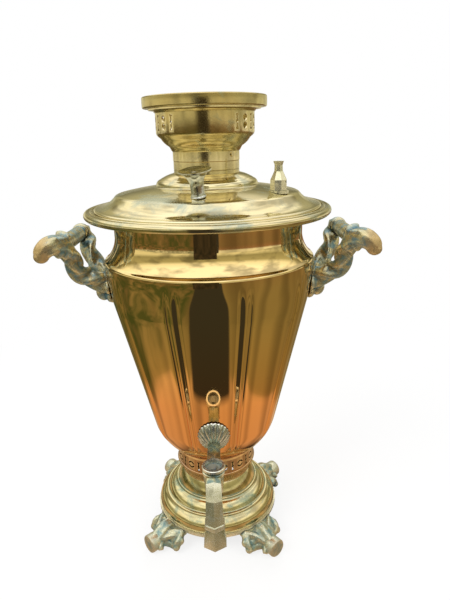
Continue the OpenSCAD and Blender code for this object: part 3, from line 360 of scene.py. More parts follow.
def smoothed(points):
    """A smooth way through a few points, with WAY_STEPS from one to the next."""
    P = [Vector(p) for p in points]
    last = len(P) - 1
    out = [between(P[max(i - 1, 0)], P[i], P[i + 1], P[min(i + 2, last)], k / WAY_STEPS)
           for i in range(last) for k in range(WAY_STEPS)]
    return out + [P[last]]

def baked(made):
    """The mesh of an object with its modifiers, as a bmesh."""
    bpy.context.collection.objects.link(made)
    bpy.context.view_layer.update()
    mesh = bpy.data.meshes.new_from_object(made.evaluated_get(bpy.context.evaluated_depsgraph_get()))
    bpy.data.objects.remove(made)
    bm = bmesh.new()
    bm.from_mesh(mesh)
    return bm

def lobed_ring(lobes, rise):
    """A flat ring of radius 1 mm whose edge waves out and in `lobes` times."""
    ring = bpy.data.curves.new("limb_section", "CURVE")
    ring.dimensions = "2D"
    loop = ring.splines.new("POLY")
    sides = lobes * LOBE_SIDES if lobes else ROUND_SIDES
    loop.points.add(sides - 1)
    for i, p in enumerate(loop.points):
        a = 2 * pi * i / sides
        r = 1 + rise * cos(lobes * a)
        p.co = (r * cos(a) * MM, r * sin(a) * MM, 0, 1)
    loop.use_cyclic_u = True
    made = bpy.data.objects.new("limb_section", ring)
    bpy.context.collection.objects.link(made)
    return made

def limb(points, lobes=0, rise=0.0, twist=0.0):
    """A tube through [x, y, z, radius] in mm, with lobes that wind round it."""
    section = lobed_ring(lobes, rise)
    curve = bpy.data.curves.new("limb", "CURVE")
    curve.dimensions, curve.bevel_mode, curve.bevel_object = "3D", "OBJECT", section
    curve.use_fill_caps = True
    way = smoothed(points)
    line = curve.splines.new("POLY")
    line.points.add(len(way) - 1)
    for i, (p, (x, y, z, r)) in enumerate(zip(line.points, way)):
        p.co = (x * MM, y * MM, z * MM, 1)
        p.radius, p.tilt = r, radians(twist) * i / (len(way) - 1)
    bm = baked(bpy.data.objects.new("limb", curve))
    bpy.data.objects.remove(section)
    bmesh.ops.remove_doubles(bm, verts=bm.verts, dist=1e-6)
    bmesh.ops.recalc_face_normals(bm, faces=bm.faces)
    return bm

print("limb: a curve with a lobed section")

# %% [markdown]
# A leaf tip is a ball that is stretched and turned. The melting then joins what
# overlaps, and a function may push points out of where other pieces stand.

# %% Lumps and melting
def lump(x, y, z, r, sx=1, sy=1, sz=1, turn=0, lean=0):
    """A ball of radius r at a place in mm, stretched along each axis, then leaned and turned."""
    bm = bmesh.new()
    place = (Matrix.Translation((x * MM, y * MM, z * MM)) @ Matrix.Rotation(radians(turn), 4, "Z")
             @ Matrix.Rotation(radians(lean), 4, "Y") @ Matrix.Diagonal((sx, sy, sz, 1)))
    bmesh.ops.create_icosphere(bm, subdivisions=3, radius=r * MM, matrix=place)
    return bm

def melted(parts, voxel, rounds, make_room):
    """Melts overlapping parts into one skin, smooths it, and moves its points by `make_room`."""
    mesh = bpy.data.meshes.new("melting")
    whole = together(*parts)
    whole.to_mesh(mesh)
    whole.free()
    made = bpy.data.objects.new("melting", mesh)
    remesh = made.modifiers.new("melt", "REMESH")
    remesh.mode, remesh.voxel_size = "VOXEL", voxel * MM
    bm = baked(made)
    for _ in range(rounds):
        bmesh.ops.smooth_vert(bm, verts=bm.verts, factor=0.5,
                              use_axis_x=True, use_axis_y=True, use_axis_z=True)
    for v in bm.verts:
        v.co = make_room(v.co / MM) * MM
    return bm

print("melting helpers: lump, melted")

# %% [markdown]
# ## The handles
# Each handle has two arms that leave one leaf-shaped plate, sweep out and up
# in an S, and hold the grip between them. The front arm ends in a curled knob.
# Both arms are wrapped in winding ridges, which the lobes of the tube give.

# %% Room round a handle
BEND_Z, BEND_R, BEND_SPREAD = 295, 108.5, 0.095     # where the taper turns into the shoulder
WIDEST_WALL, RIB_ROOM, WALL_PLAY = 112.8, 0.9, 0.15
GRIP_ROOM, GRIP_END, GRIP_COLLAR = 9.7, 34.2, 31    # radius and half lengths of the turning grip

def off_the_tank(p):
    """Keeps a point of a handle out of the tank's wall."""
    r = hypot(p.x, p.y)
    wall = tank_r(p.z) if p.z < BEND_Z else BEND_R + (p.z - BEND_Z) * BEND_SPREAD + RIB_ROOM
    wall = min(wall, WIDEST_WALL) + WALL_PLAY
    if r < wall:
        return Vector((p.x * wall / r, p.y * wall / r, p.z))
    return p

def clear_of_grip(p):
    """Leaves the room in which the grip turns."""
    dx, dz = p.x - GRIP_X, p.z - GRIP_Z
    r = hypot(dx, dz)
    if abs(p.y) >= GRIP_END or not 0.01 < r < GRIP_ROOM:
        return p
    if abs(p.y) > GRIP_COLLAR:
        return Vector((p.x, copysign(GRIP_END + 0.05, p.y), p.z))
    return Vector((GRIP_X + dx * GRIP_ROOM / r, p.y, GRIP_Z + dz * GRIP_ROOM / r))

print("a handle keeps", WALL_PLAY, "mm off the wall")

# %% Handles
# x, y, z and radius in mm along each limb
FRONT_ARM = [(109, -6, 308.6, 12.4), (121.6, -13, 317.6, 10.9), (135, -21, 324.6, 10.0),
             (140, -29, 336.6, 9.1), (142, -37, 352.6, 8.9), (149, -47, 363.6, 9.6)]
REAR_ARM = [(109, 6, 308.6, 11.4), (125.6, 14, 323.6, 9.6), (137, 25, 341.6, 8.6),
            (142, 38, 354.6, 8.6), (148, 43, 360.6, 8.9)]
CURLED_KNOB = [(141, -40, 352, 8), (147, -46, 362, 10.2), (154, -54, 363.5, 10),
               (160.5, -56.4, 359.6, 8.8), (163.5, -56.6, 354.6, 7.6)]
PLATE_STALK = [(108, 0, 296.6, 8), (116, 0, 305, 9), (122, -2, 314, 8)]
# place, radius, three stretches, turn and lean of each leaf tip
LEAF_TIPS = [(124, -20, 324, 5.5, 1.5, 0.8, 0.9, 20, -30), (137, -26, 330, 5, 1.4, 0.8, 1, 30, -60),
             (134.5, -31, 343, 5, 0.9, 0.8, 1.7, 0, 12), (144, -42, 372, 5.2, 1.6, 0.7, 0.8, 10, -20),
             (152, -58, 369.5, 4.4, 1.6, 0.8, 0.7, -15, 20), (146, -53, 356, 4.6, 1.3, 0.9, 1.1, -30, 40),
             (119, -8, 300, 6, 1.1, 1, 1.4, 0, 30), (131, 20, 330, 5, 1.4, 0.8, 1, -30, -50),
             (136, 32, 349, 5, 1, 0.8, 1.5, 0, 10)]
# y, z and radius of the lobes of the leaf that hugs the wall
PLATE_X, PLATE_FLAT = 110.5, 0.55
PLATE_LOBES = [(0, 326, 9), (-12, 322, 8), (12, 322, 8), (-15, 309, 8), (15, 309, 8),
               (-9, 297.5, 7.5), (9, 297.5, 7.5), (0, 293.5, 7), (0, 310, 13)]

def right_handle():
    parts = [limb(FRONT_ARM, 3, 0.17, 420), limb(REAR_ARM, 3, 0.17, -380),
             limb(CURLED_KNOB, 5, 0.07, 60), lump(163.5, -56.6, 354, 7.7, 1, 1, 0.9)]
    parts += [lump(*tip) for tip in LEAF_TIPS]
    for s in (-1, 1):                   # the eyes that hold the ends of the grip's rod
        parts.append(limb([(GRIP_X, s * 34.4, GRIP_Z, 9.6), (GRIP_X, s * 38, GRIP_Z, 10.1),
                           (GRIP_X, s * 43, GRIP_Z, 9.2)]))
    parts += [lump(PLATE_X, y, z, r, PLATE_FLAT) for y, z, r in PLATE_LOBES]
    parts.append(limb(PLATE_STALK, 3, 0.1, 60))
    return melted(parts, 0.95, 2, lambda p: clear_of_grip(off_the_tank(p)))

right = right_handle()
left = right.copy()
bmesh.ops.scale(left, vec=(-1, 1, 1), verts=left.verts)
bmesh.ops.reverse_faces(left, faces=left.faces)
finish_piece(right, "leafy_handle_right", "samovar", ["handle_right"], "handle_patina", 70)
finish_piece(left, "leafy_handle_left", "samovar", ["handle_left"], "handle_patina", 70)

# %% [markdown]
# ## The feet
# A foot is a wide leaf that hugs the frame, folds down into a short leg with
# curled lobes on both sides, and ends in a round peg whose face is worn brown.

# %% Feet
PEG_Z, FOOT_FLOOR = 10.1, 0.35                      # height of the peg's axis, and of the leaf
FRAME_R, FRAME_LOW = 74.25, 20.7                    # room for the frame that the foot hugs
FRAME_EDGE, FRAME_TOP = 76, 24.1                    # near the frame a leaf stays below its top
FIRST_FOOT = -49.5                                  # degrees from +X
SPINE = [(68, 0, 21.5, 6), (80, 0, 21, 8), (88, 0, 15.5, 9), (96, 0, 10.6, 8.6)]
PEG_OUTLINE = [(0, 94), (9.6, 94), (10.1, 94.6), (10.4, 96.5), (10.4, 104.8), (10.0, 105.7),
               (9.0, 106), (6, 105.8), (2, 106), (0, 106)]

def clear_of_frame(p):
    """Keeps a point of a foot off the floor and out of the frame."""
    r = hypot(p.x, p.y)
    z = max(p.z, FOOT_FLOOR)
    if r < FRAME_EDGE:
        z = min(z, FRAME_TOP)
    if z > FRAME_LOW and r < FRAME_R:
        return Vector((p.x * FRAME_R / r, p.y * FRAME_R / r, z))
    return Vector((p.x, p.y, z))

def side_leaves(s):
    """The leaves on one side of a foot: s is 1 or -1."""
    edge = [(66.5, s * 21, 19.6, 3.2), (74, s * 17, 18.6, 5), (82, s * 10, 16.5, 5.4), (90, s * 4.5, 13, 5.5)]
    curl = [(72, s * 19, 19, 4), (79.5, s * 22.5, 13.5, 4.6), (82.5, s * 20, 8, 4.3),
            (84.5, s * 13, 7.2, 4), (90, s * 6, 9, 4.4)]
    claw = [(90, s * 3, 12, 5), (95.5, s * 9, 7.6, 4), (97.5, s * 11.8, 4.4, 2.8)]
    return [limb(edge, 3, 0.12, 90), limb(curl, 3, 0.12, 120),
            lump(83, s * 23, 7.6, 4.4), lump(77, s * 24, 13.5, 4, 1, 1, 1.2), limb(claw, 3, 0.1, 60),
            lump(75, s * 12, 20.2, 5, 1.3, 1.2, 0.5, s * 40), lump(80, s * 13, 12.5, 6, 0.9, 1.3, 1)]

def peg():
    """A round peg that lies along +X, with the flat on which it stands."""
    bm = moved(spun(PEG_OUTLINE, SMALL),
               Matrix.Translation((0, 0, PEG_Z * MM)) @ Matrix.Rotation(pi / 2, 4, "Y"))
    for v in bm.verts:
        v.co.z = max(v.co.z, 0.0)
    return bm

def tab():
    """The flat tab that reaches under the frame."""
    bm = bmesh.new()
    bmesh.ops.create_cube(bm, size=1, matrix=Matrix.Translation((66 * MM, 0, 19.0 * MM))
                          @ Matrix.Diagonal((22 * MM, 18 * MM, 2.6 * MM, 1)))
    return bm

def one_foot():
    """A foot that points along +X."""
    leaves = ([limb(SPINE, 5, 0.08)] + side_leaves(-1) + side_leaves(1)
              + [lump(80, 0, 23.4, 5.2, 1.7, 0.75, 0.6, 0, 20)])
    return together(melted(leaves, 0.85, 1, clear_of_frame), peg(), tab())

for i, corner in enumerate(("front_right", "back_right", "back_left", "front_left")):
    bm = moved(one_foot(), Matrix.Rotation(radians(FIRST_FOOT + 90 * i), 4, "Z"))
    finish_piece(bm, "leaf_foot_" + corner, "samovar", ["foot_" + corner], "cast_patina", 55)

# %% [markdown]
# ## The tap
# The tap is a bronze casting with six-sided limbs: a tube from the wall, a
# round barrel for the plug, and a spout that flares to its mouth. Its shell on
# the wall is a fan of ribs. A line of points is spun into a flat disc, and a
# formula then lays the disc on the wall as a fan.

# %% Shell of the tap
FAN_RINGS, FAN_STEPS = 18, 208
FAN_Z, FAN_WIDE, FAN_HIGH, FAN_MIDDLE = 149.6, 17.4, 20.0, 8.652      # where v is 0; half sizes
FAN_RIBS, FAN_RIB, FAN_CROWN = 13, 0.9, 6.8
RIBS_MEET, CROWN_DROP = -4, 4           # the v that the ribs run to; the crown lies this low

def wall_place(u, v, lift):
    """A point on the wall near the tap: u across, v up the wall, lift outwards."""
    z = FAN_Z + v * cos(slope)
    r = tank_r(z) + 0.35 + lift
    a = u / tank_r(z)
    return Vector((r * sin(a), -r * cos(a), z - lift * sin(slope) * 0.3)) * MM

def fan_point(t, a):
    """Where the point of the disc at radius t (0 to 1) and angle a comes to lie."""
    edge = 1 + 0.02 * cos(2 * FAN_RIBS * a) * t ** 3
    u = FAN_WIDE * cos(a) * t * edge
    v = FAN_MIDDLE + FAN_HIGH * sin(a) * t * edge - (1 - t) * CROWN_DROP
    crown = FAN_CROWN * (1 - t ** 2.4) + 0.25
    fade = min(1, hypot(u, v - RIBS_MEET) / 16) * min(1, (1 - t) * 7 + 0.25)
    ribs = FAN_RIB * abs(sin(FAN_RIBS * atan2(v - RIBS_MEET, u))) ** 0.7 * fade
    return wall_place(u, v, max(crown + ribs - 0.5, 0.1))

def fan_shell():
    bm = bmesh.new()
    row = [bm.verts.new((i / FAN_RINGS, 0, 0)) for i in range(FAN_RINGS + 1)]
    edges = [bm.edges.new(pair) for pair in zip(row, row[1:])]
    bmesh.ops.spin(bm, geom=row + edges, cent=(0, 0, 0), axis=(0, 0, 1),
                   angle=2 * pi, steps=FAN_STEPS, use_merge=True)
    bmesh.ops.remove_doubles(bm, verts=bm.verts, dist=1e-5)
    rim = [e for e in bm.edges if e.is_boundary]
    for v in bm.verts:
        v.co = fan_point(v.co.length, atan2(v.co.y, v.co.x))
    back = bmesh.ops.extrude_edge_only(bm, edges=rim)
    for v in (g for g in back["geom"] if isinstance(g, bmesh.types.BMVert)):
        a = atan2(v.co.x, -v.co.y)
        r = (tank_r(v.co.z / MM) + 0.3) * MM
        v.co.x, v.co.y = r * sin(a), -r * cos(a)
    bmesh.ops.remove_doubles(bm, verts=bm.verts, dist=2e-5)
    return bm

finish_piece(fan_shell(), "fan_shell", "samovar", ["tap_shell"], "tap_patina", 70)

# %% [markdown]
# ## Pieces that keep their CAD shape
# Pierced bands, the frame, the tap and the eight-sided steam vent have their
# real shape in the CAD already. A copy has its loose triangles merged, so that
# round faces can be shaded smooth and edges stay sharp.

# %% Dressed copies
def dressed(node, body, name, slot, crease):
    """A merged copy of a CAD node, with smooth shading over its round faces."""
    bm = bmesh.new()
    bm.from_mesh(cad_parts[node].data)
    bmesh.ops.remove_doubles(bm, verts=bm.verts, dist=SAME_POINT)
    bmesh.ops.dissolve_degenerate(bm, edges=bm.edges, dist=1e-6)
    finish_piece(bm, name, body, [node], slot, crease)

dressed("neck_gallery", "samovar", "pierced_neck", "brass_neck", 30)
dressed("crown", "crown", "pierced_crown", "brass_crown", 30)
dressed("base_frame", "samovar", "square_frame", "cast_patina", 25)
dressed("tap_body", "samovar", "six_sided_tap", "tap_patina", 22)
dressed("tap_plug", "plug", "tapered_plug", "tap_patina", 25)
dressed("vent_seat", "lid", "vent_tube", "vent_patina", 30)
dressed("vent_cap", "vent_cap", "vent_body", "vent_patina", 20)

# %% [markdown]
# ## The finishes
# Every metal here is one Principled shader with a few patterns: a colour that
# drifts in clouds, or with the height, which on the tank is a painted reflection
# of the warm ground; a film of tarnish; darker hollows, partly tarnish and partly
# painted shade; paler ridges, partly wear and partly painted highlight; and a
# roughness that follows them. Patterns read Object coordinates, so they stay on
# the metal when a lid is lifted.

# %% Nodes in a few words
def bare_material(name):
    """A new material with its coordinates ready, in a node called place."""
    mat = bpy.data.materials.new(name)
    mat.use_nodes = True
    nt = mat.node_tree
    add(nt, "ShaderNodeTexCoord", name="place")
    return mat, nt, nt.nodes["Principled BSDF"]

def add(nt, kind, **values):
    """A node with its properties and sockets set; From_Min stands for the socket From Min."""
    n = nt.nodes.new(kind)
    for key, value in values.items():
        if hasattr(n, key):
            setattr(n, key, value)
        else:
            n.inputs[key.replace("_", " ")].default_value = value
    return n

def calculated(nt, operation, *values):
    """The result of a sum, product and the like of sockets and numbers."""
    n = add(nt, "ShaderNodeMath", operation=operation)
    for socket, value in zip(n.inputs, values):
        if isinstance(value, (int, float)):
            socket.default_value = value
        else:
            nt.links.new(value, socket)
    return n.outputs[0]

def share(nt, value, low, high):
    """0 where a value is `low`, 1 where it is `high`, and what lies between."""
    n = add(nt, "ShaderNodeMapRange", From_Min=low, From_Max=high)
    nt.links.new(value, n.inputs["Value"])
    return n.outputs[0]

def coordinate(nt, axis, space="Object"):
    """The X, Y or Z of a point."""
    n = add(nt, "ShaderNodeSeparateXYZ")
    nt.links.new(nt.nodes["place"].outputs[space], n.inputs[0])
    return n.outputs[axis]

def axis_distance(nt):
    """How far a point is from the upright axis, in metres."""
    flat = add(nt, "ShaderNodeVectorMath", operation="MULTIPLY")
    flat.inputs[1].default_value = (1, 1, 0)
    r = add(nt, "ShaderNodeVectorMath", operation="LENGTH")
    nt.links.new(nt.nodes["place"].outputs["Object"], flat.inputs[0])
    nt.links.new(flat.outputs[0], r.inputs[0])
    return r.outputs["Value"]

print("node helpers ready")

# %% [markdown]
# Patterns come from three things: noise, a ramp that turns it into colours, and
# a mix of two colours by a mask.

# %% Patterns
def ramp(nt, fac, stops):
    """Colours for a value between 0 and 1."""
    n = nt.nodes.new("ShaderNodeValToRGB")
    els = n.color_ramp.elements
    while len(els) < len(stops):
        els.new(0.5)
    for el, (at, colour) in zip(els, stops):
        el.position = at
        el.color = (*colour, 1)
    nt.links.new(fac, n.inputs["Fac"])
    return n.outputs["Color"]

def grey(at0, at1, a=0.0, b=1.0):
    """Two grey stops, for a mask."""
    return [(at0, (a, a, a)), (at1, (b, b, b))]

def mixed(nt, fac, a, b, blend="MIX"):
    """Two colours, each a socket or three numbers, mixed by a factor."""
    n = nt.nodes.new("ShaderNodeMix")
    n.data_type, n.blend_type = "RGBA", blend
    for socket, value in ((n.inputs["Factor"], fac), (n.inputs[6], a), (n.inputs[7], b)):
        if isinstance(value, tuple):
            socket.default_value = (*value, 1)
        elif isinstance(value, float):
            socket.default_value = value
        else:
            nt.links.new(value, socket)
    return n.outputs[2]

def noise(nt, scale, detail, rough=0.55, distort=0.0, space="Object"):
    """Cloudy noise, at `scale` clouds to the metre."""
    n = add(nt, "ShaderNodeTexNoise", Scale=scale, Detail=detail, Roughness=rough, Distortion=distort)
    nt.links.new(nt.nodes["place"].outputs[space], n.inputs["Vector"])
    return n.outputs["Fac"]

print("patterns: ramp, grey, mixed, noise")

# %% [markdown]
# One recipe serves all metals. Pointiness tells ridges from hollows: the last
# argument holds the two values at which a hollow ends and a ridge begins.
# Hollows are painted darker, as tarnish and painted shade; ridges are painted
# paler, as wear and painted highlight.

# %% The recipe for an old metal
FULL_HEIGHT = 0.5                       # metres, for colours that change with the height
finishes = {}

def height_colours(nt, heights):
    """Colours by height, from (height in metres, colour) pairs."""
    up = share(nt, coordinate(nt, "Z"), 0, FULL_HEIGHT)
    return ramp(nt, up, [(h / FULL_HEIGHT, colour) for h, colour in heights])

def hammered(nt, bsdf, strength, grain):
    """A fine unevenness of the surface."""
    bump = add(nt, "ShaderNodeBump", Strength=strength, Distance=0.0004)
    nt.links.new(noise(nt, grain, 5.0, 0.6), bump.inputs["Height"])
    nt.links.new(bump.outputs["Normal"], bsdf.inputs["Normal"])

def old_metal(slot, clouds, film, film_from, hollow, ridge, rough, cloud_scale=14, film_scale=30,
              metallic=1.0, bump=0.25, grain=900, heights=None, hollow_ridge_split=(0.46, 0.53)):
    """clouds: two or three colours; film: a colour; hollow: tarnish and painted shade; ridge: wear and
    painted highlight; rough: bare and filmed.
    """
    mat, nt, bsdf = bare_material(slot)
    n = len(clouds) - 1
    colour = ramp(nt, noise(nt, cloud_scale, 3.0), [(0.32 + 0.36 * i / n, c) for i, c in enumerate(clouds)])
    if heights:
        colour = mixed(nt, 0.85, colour, height_colours(nt, heights))
    stain = ramp(nt, noise(nt, film_scale, 6.0, 0.65, 0.4), grey(film_from, film_from + 0.14))
    point = add(nt, "ShaderNodeNewGeometry").outputs["Pointiness"]
    # hollows darker as tarnish and painted shade, ridges paler as wear and painted highlight
    low = ramp(nt, point, grey(hollow_ridge_split[0] - 0.05, hollow_ridge_split[0] + 0.025, 1.0, 0.0))
    high = ramp(nt, point, grey(hollow_ridge_split[1] - 0.01, hollow_ridge_split[1] + 0.05))
    for mask, tint in ((stain, film), (low, hollow), (high, ridge)):
        colour = mixed(nt, mask, colour, tint)
    nt.links.new(colour, bsdf.inputs["Base Color"])
    bsdf.inputs["Metallic"].default_value = metallic
    bare, filmed = rough
    dull = mixed(nt, stain, (bare,) * 3, (filmed,) * 3)
    dull = mixed(nt, low, dull, (min(filmed + 0.15, 0.9),) * 3)
    fine = ramp(nt, noise(nt, 160, 3.0), grey(0.3, 0.7, 0.0, 0.10 * (filmed + 0.1)))
    nt.links.new(mixed(nt, 1.0, dull, fine, "ADD"), bsdf.inputs["Roughness"])
    hammered(nt, bsdf, bump, grain)
    finishes[slot] = mat
    print("finish", slot)

def tinted(slot, mask, colour):
    """Lays one more colour over a finish, where the mask is white."""
    nt = finishes[slot].node_tree
    base = nt.nodes["Principled BSDF"].inputs["Base Color"]
    nt.links.new(mixed(nt, mask, base.links[0].from_socket, colour), base)

# %% [markdown]
# The tank is polished to a mirror. Its colour is painted redder below and
# yellower above: a painted reflection of the warm ground in its lower part. The
# lid is paler, under a thin grey film.

# %% Polished brass
# the heights paint a reflection of the warm ground, redder low on the tank
old_metal("brass_tank", [(0.80, 0.52, 0.22), (0.88, 0.62, 0.28)], film=(0.55, 0.38, 0.16), film_from=0.64,
          hollow=(0.62, 0.38, 0.14), ridge=(0.92, 0.68, 0.34), rough=(0.035, 0.11),
          cloud_scale=7, film_scale=22, bump=0.035, grain=60,
          heights=[(0.10, (0.86, 0.37, 0.13)), (0.19, (0.87, 0.43, 0.16)), (0.24, (0.86, 0.55, 0.22)),
                   (0.30, (0.85, 0.65, 0.30)), (0.39, (0.86, 0.70, 0.37))])
old_metal("brass_lid", [(0.64, 0.55, 0.30), (0.76, 0.68, 0.42), (0.70, 0.57, 0.31)],
          film=(0.45, 0.48, 0.37), film_from=0.48, hollow=(0.28, 0.22, 0.11), ridge=(0.92, 0.82, 0.56),
          rough=(0.08, 0.26), cloud_scale=9, film_scale=26, bump=0.05, grain=300, hollow_ridge_split=(0.472, 0.525))
old_metal("brass_crown", [(0.52, 0.43, 0.19), (0.64, 0.55, 0.28), (0.56, 0.43, 0.18)],
          film=(0.41, 0.43, 0.29), film_from=0.56, hollow=(0.26, 0.17, 0.07), ridge=(0.82, 0.70, 0.42),
          rough=(0.17, 0.34), cloud_scale=10, film_scale=40, bump=0.10, grain=420)
# brass_base: green grooves are tarnish darkened as painted shade, pale ridges wear and painted highlight
old_metal("brass_base", [(0.58, 0.50, 0.25), (0.72, 0.64, 0.37), (0.62, 0.49, 0.24)],
          film=(0.36, 0.43, 0.31), film_from=0.50, hollow=(0.13, 0.21, 0.17), ridge=(0.90, 0.80, 0.56),
          rough=(0.10, 0.32), cloud_scale=16, film_scale=45, bump=0.12, grain=400, hollow_ridge_split=(0.475, 0.53))

# %% [markdown]
# The pierced neck is painted black inside. What lies nearer the axis than its
# outer face turns black, but only above the plain foot of the neck.

# %% Neck, black inside
# near-black on the neck's inner face, above its plain foot
NECK_FACE, NECK_FOOT_TOP, INNER_BLACK = 0.0451, 0.0872, (0.012, 0.010, 0.008)

old_metal("brass_neck", [(0.62, 0.38, 0.20), (0.76, 0.54, 0.28)], film=(0.48, 0.32, 0.22), film_from=0.50,
          hollow=(0.20, 0.12, 0.07), ridge=(0.88, 0.70, 0.42), rough=(0.18, 0.38), bump=0.15, grain=500)
nt = finishes["brass_neck"].node_tree
inside = ramp(nt, axis_distance(nt), grey(NECK_FACE - 0.0002, NECK_FACE, 1.0, 0.0))
above = ramp(nt, coordinate(nt, "Z"), grey(NECK_FOOT_TOP, NECK_FOOT_TOP + 0.0006))
tinted("brass_neck", mixed(nt, 1.0, inside, above, "MULTIPLY"), INNER_BLACK)

# %% [markdown]
# The castings are never polished in their hollows. Blue-green tarnish stays
# there, and its dark values add painted shade; hands and cloths keep the ridges
# bright, and their pale values add painted highlight.

# %% Tarnished castings
old_metal("cast_patina", [(0.42, 0.44, 0.28), (0.64, 0.63, 0.46), (0.54, 0.50, 0.30)],
          film=(0.27, 0.40, 0.38), film_from=0.45, hollow=(0.06, 0.15, 0.20), ridge=(0.84, 0.80, 0.62),
          rough=(0.24, 0.46), cloud_scale=60, film_scale=120, metallic=0.85, bump=0.5, grain=700,
          hollow_ridge_split=(0.48, 0.515))
old_metal("handle_patina", [(0.40, 0.38, 0.22), (0.64, 0.54, 0.29), (0.48, 0.45, 0.28)],
          film=(0.20, 0.34, 0.39), film_from=0.44, hollow=(0.04, 0.11, 0.17), ridge=(0.80, 0.74, 0.52),
          rough=(0.20, 0.40), cloud_scale=50, film_scale=110, metallic=0.8, bump=0.4, grain=700,
          hollow_ridge_split=(0.485, 0.512))
old_metal("tap_patina", [(0.38, 0.40, 0.23), (0.58, 0.57, 0.38), (0.46, 0.43, 0.24)],
          film=(0.25, 0.36, 0.34), film_from=0.48, hollow=(0.06, 0.13, 0.16), ridge=(0.84, 0.84, 0.74),
          rough=(0.16, 0.34), cloud_scale=45, film_scale=110, metallic=0.92, bump=0.2, grain=650,
          hollow_ridge_split=(0.47, 0.52))

# %% [markdown]
# The ends that hands and tables rub are worn to another colour: brown pegs
# under the feet, and golden knobs at the ends of the handles. Both lie further
# from the axis than the rest of their piece, so the distance is the mask.

# %% Worn ends of pegs and knobs
def worn_beyond(slot, reach, over, colour):
    """Gives `colour` to what lies further than `reach` from the axis, softly over `over`."""
    nt = finishes[slot].node_tree
    tinted(slot, ramp(nt, axis_distance(nt), grey(reach, reach + over)), colour)

worn_beyond("cast_patina", 0.1053, 0.0006, (0.27, 0.18, 0.11))
worn_beyond("handle_patina", 0.1635, 0.006, (0.60, 0.44, 0.22))

# %% [markdown]
# The vent is yellow under a green film, the knobs were plated and are grey, the
# tap's shell is silvery on its ribs, and the plug is painted nearly black, as
# painted shade in the mouth of the barrel.

# %% Vent, knobs, shell and plug
old_metal("vent_patina", [(0.50, 0.48, 0.26), (0.66, 0.62, 0.36)], film=(0.40, 0.44, 0.30), film_from=0.52,
          hollow=(0.20, 0.24, 0.16), ridge=(0.82, 0.78, 0.56), rough=(0.22, 0.42), cloud_scale=60,
          film_scale=140, metallic=0.85, bump=0.3, grain=650)
old_metal("nickel_patina", [(0.54, 0.57, 0.56), (0.72, 0.74, 0.73)], film=(0.42, 0.46, 0.42),
          film_from=0.55, hollow=(0.22, 0.22, 0.16), ridge=(0.86, 0.86, 0.80), rough=(0.14, 0.34),
          cloud_scale=60, film_scale=120, bump=0.15, grain=600)
old_metal("shell_patina", [(0.48, 0.52, 0.46), (0.70, 0.73, 0.68)], film=(0.34, 0.44, 0.44),
          film_from=0.50, hollow=(0.06, 0.13, 0.17), ridge=(0.90, 0.92, 0.90), rough=(0.14, 0.32),
          cloud_scale=60, film_scale=120, metallic=0.92, bump=0.2, hollow_ridge_split=(0.485, 0.515))
# the plug's near-black blue is painted shade in the barrel's mouth
old_metal("plug_painted_shade", [(0.04, 0.10, 0.19), (0.09, 0.19, 0.28)], film=(0.14, 0.22, 0.22), film_from=0.5,
          hollow=(0.02, 0.03, 0.05), ridge=(0.30, 0.32, 0.28), rough=(0.35, 0.55), metallic=0.5, bump=0.4)

# %% [markdown]
# What is hidden is copper in the fire's way, rusty iron for the grate, steel
# for screws and nuts, and a leather washer behind the tap.

# %% Metals and leather inside
old_metal("fire_copper", [(0.34, 0.16, 0.09), (0.48, 0.24, 0.14)], film=(0.16, 0.10, 0.08), film_from=0.46,
          hollow=(0.08, 0.05, 0.04), ridge=(0.60, 0.34, 0.22), rough=(0.35, 0.65), bump=0.4)
old_metal("iron_grate", [(0.10, 0.09, 0.08), (0.16, 0.13, 0.11)], film=(0.24, 0.11, 0.05), film_from=0.50,
          hollow=(0.04, 0.03, 0.03), ridge=(0.28, 0.24, 0.20), rough=(0.5, 0.8), metallic=0.8, bump=0.7)
old_metal("steel_fixings", [(0.38, 0.37, 0.35), (0.50, 0.49, 0.46)], film=(0.28, 0.20, 0.14), film_from=0.54,
          hollow=(0.12, 0.10, 0.08), ridge=(0.62, 0.61, 0.58), rough=(0.28, 0.5), bump=0.3)
old_metal("leather_seal", [(0.14, 0.07, 0.035), (0.22, 0.12, 0.06)], film=(0.10, 0.06, 0.04), film_from=0.5,
          hollow=(0.05, 0.03, 0.02), ridge=(0.30, 0.18, 0.10), rough=(0.6, 0.8), metallic=0.0, bump=0.8)

# %% [markdown]
# A piece wears the finish of its slot. The plug and the tap's shell have their
# own look within the tap's slot. CAD nodes that no piece replaces stay seen.

# %% Which piece has which finish
OWN_LOOK = {"tapered_plug": "plug_painted_shade", "fan_shell": "shell_patina"}
KEPT_NODES = {"tank_floor": "brass_tank", "fire_tube": "fire_copper", "flue_tube": "fire_copper",
              "fire_grate": "iron_grate", "ring_sleeve": "brass_lid", "tap_gasket": "leather_seal",
              "crown_rivet": "brass_crown"}

def wear(obj, finish):
    obj.data.materials.clear()
    obj.data.materials.append(finishes[finish])

for name, piece in pieces.items():
    wear(piece, OWN_LOOK.get(name, piece["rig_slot"]))
for name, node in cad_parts.items():
    if not node.hide_render:
        wear(node, KEPT_NODES.get(name, "steel_fixings"))
        print(name, "keeps its CAD shape, in", node.data.materials[0].name)

# %% [markdown]
# ## Floor, light and what the mirror shows
# Polished brass has no look of its own: it shows what stands round it. First
# comes a pale floor. To the camera it glows white, more so further off, and
# keeps a soft shadow near the feet.

# %% Floor
WHITE_FROM, WHITE_ALL = 0.2, 0.75       # metres from the samovar

def plane(name, size, place, turn=(0, 0, 0)):
    bm = bmesh.new()
    bmesh.ops.create_grid(bm, x_segments=1, y_segments=1, size=size / 2)
    mesh = bpy.data.meshes.new(name)
    bm.to_mesh(mesh)
    bm.free()
    obj = bpy.data.objects.new(name, mesh)
    obj.location = place
    obj.rotation_euler = [radians(a) for a in turn]
    bpy.context.collection.objects.link(obj)
    return obj

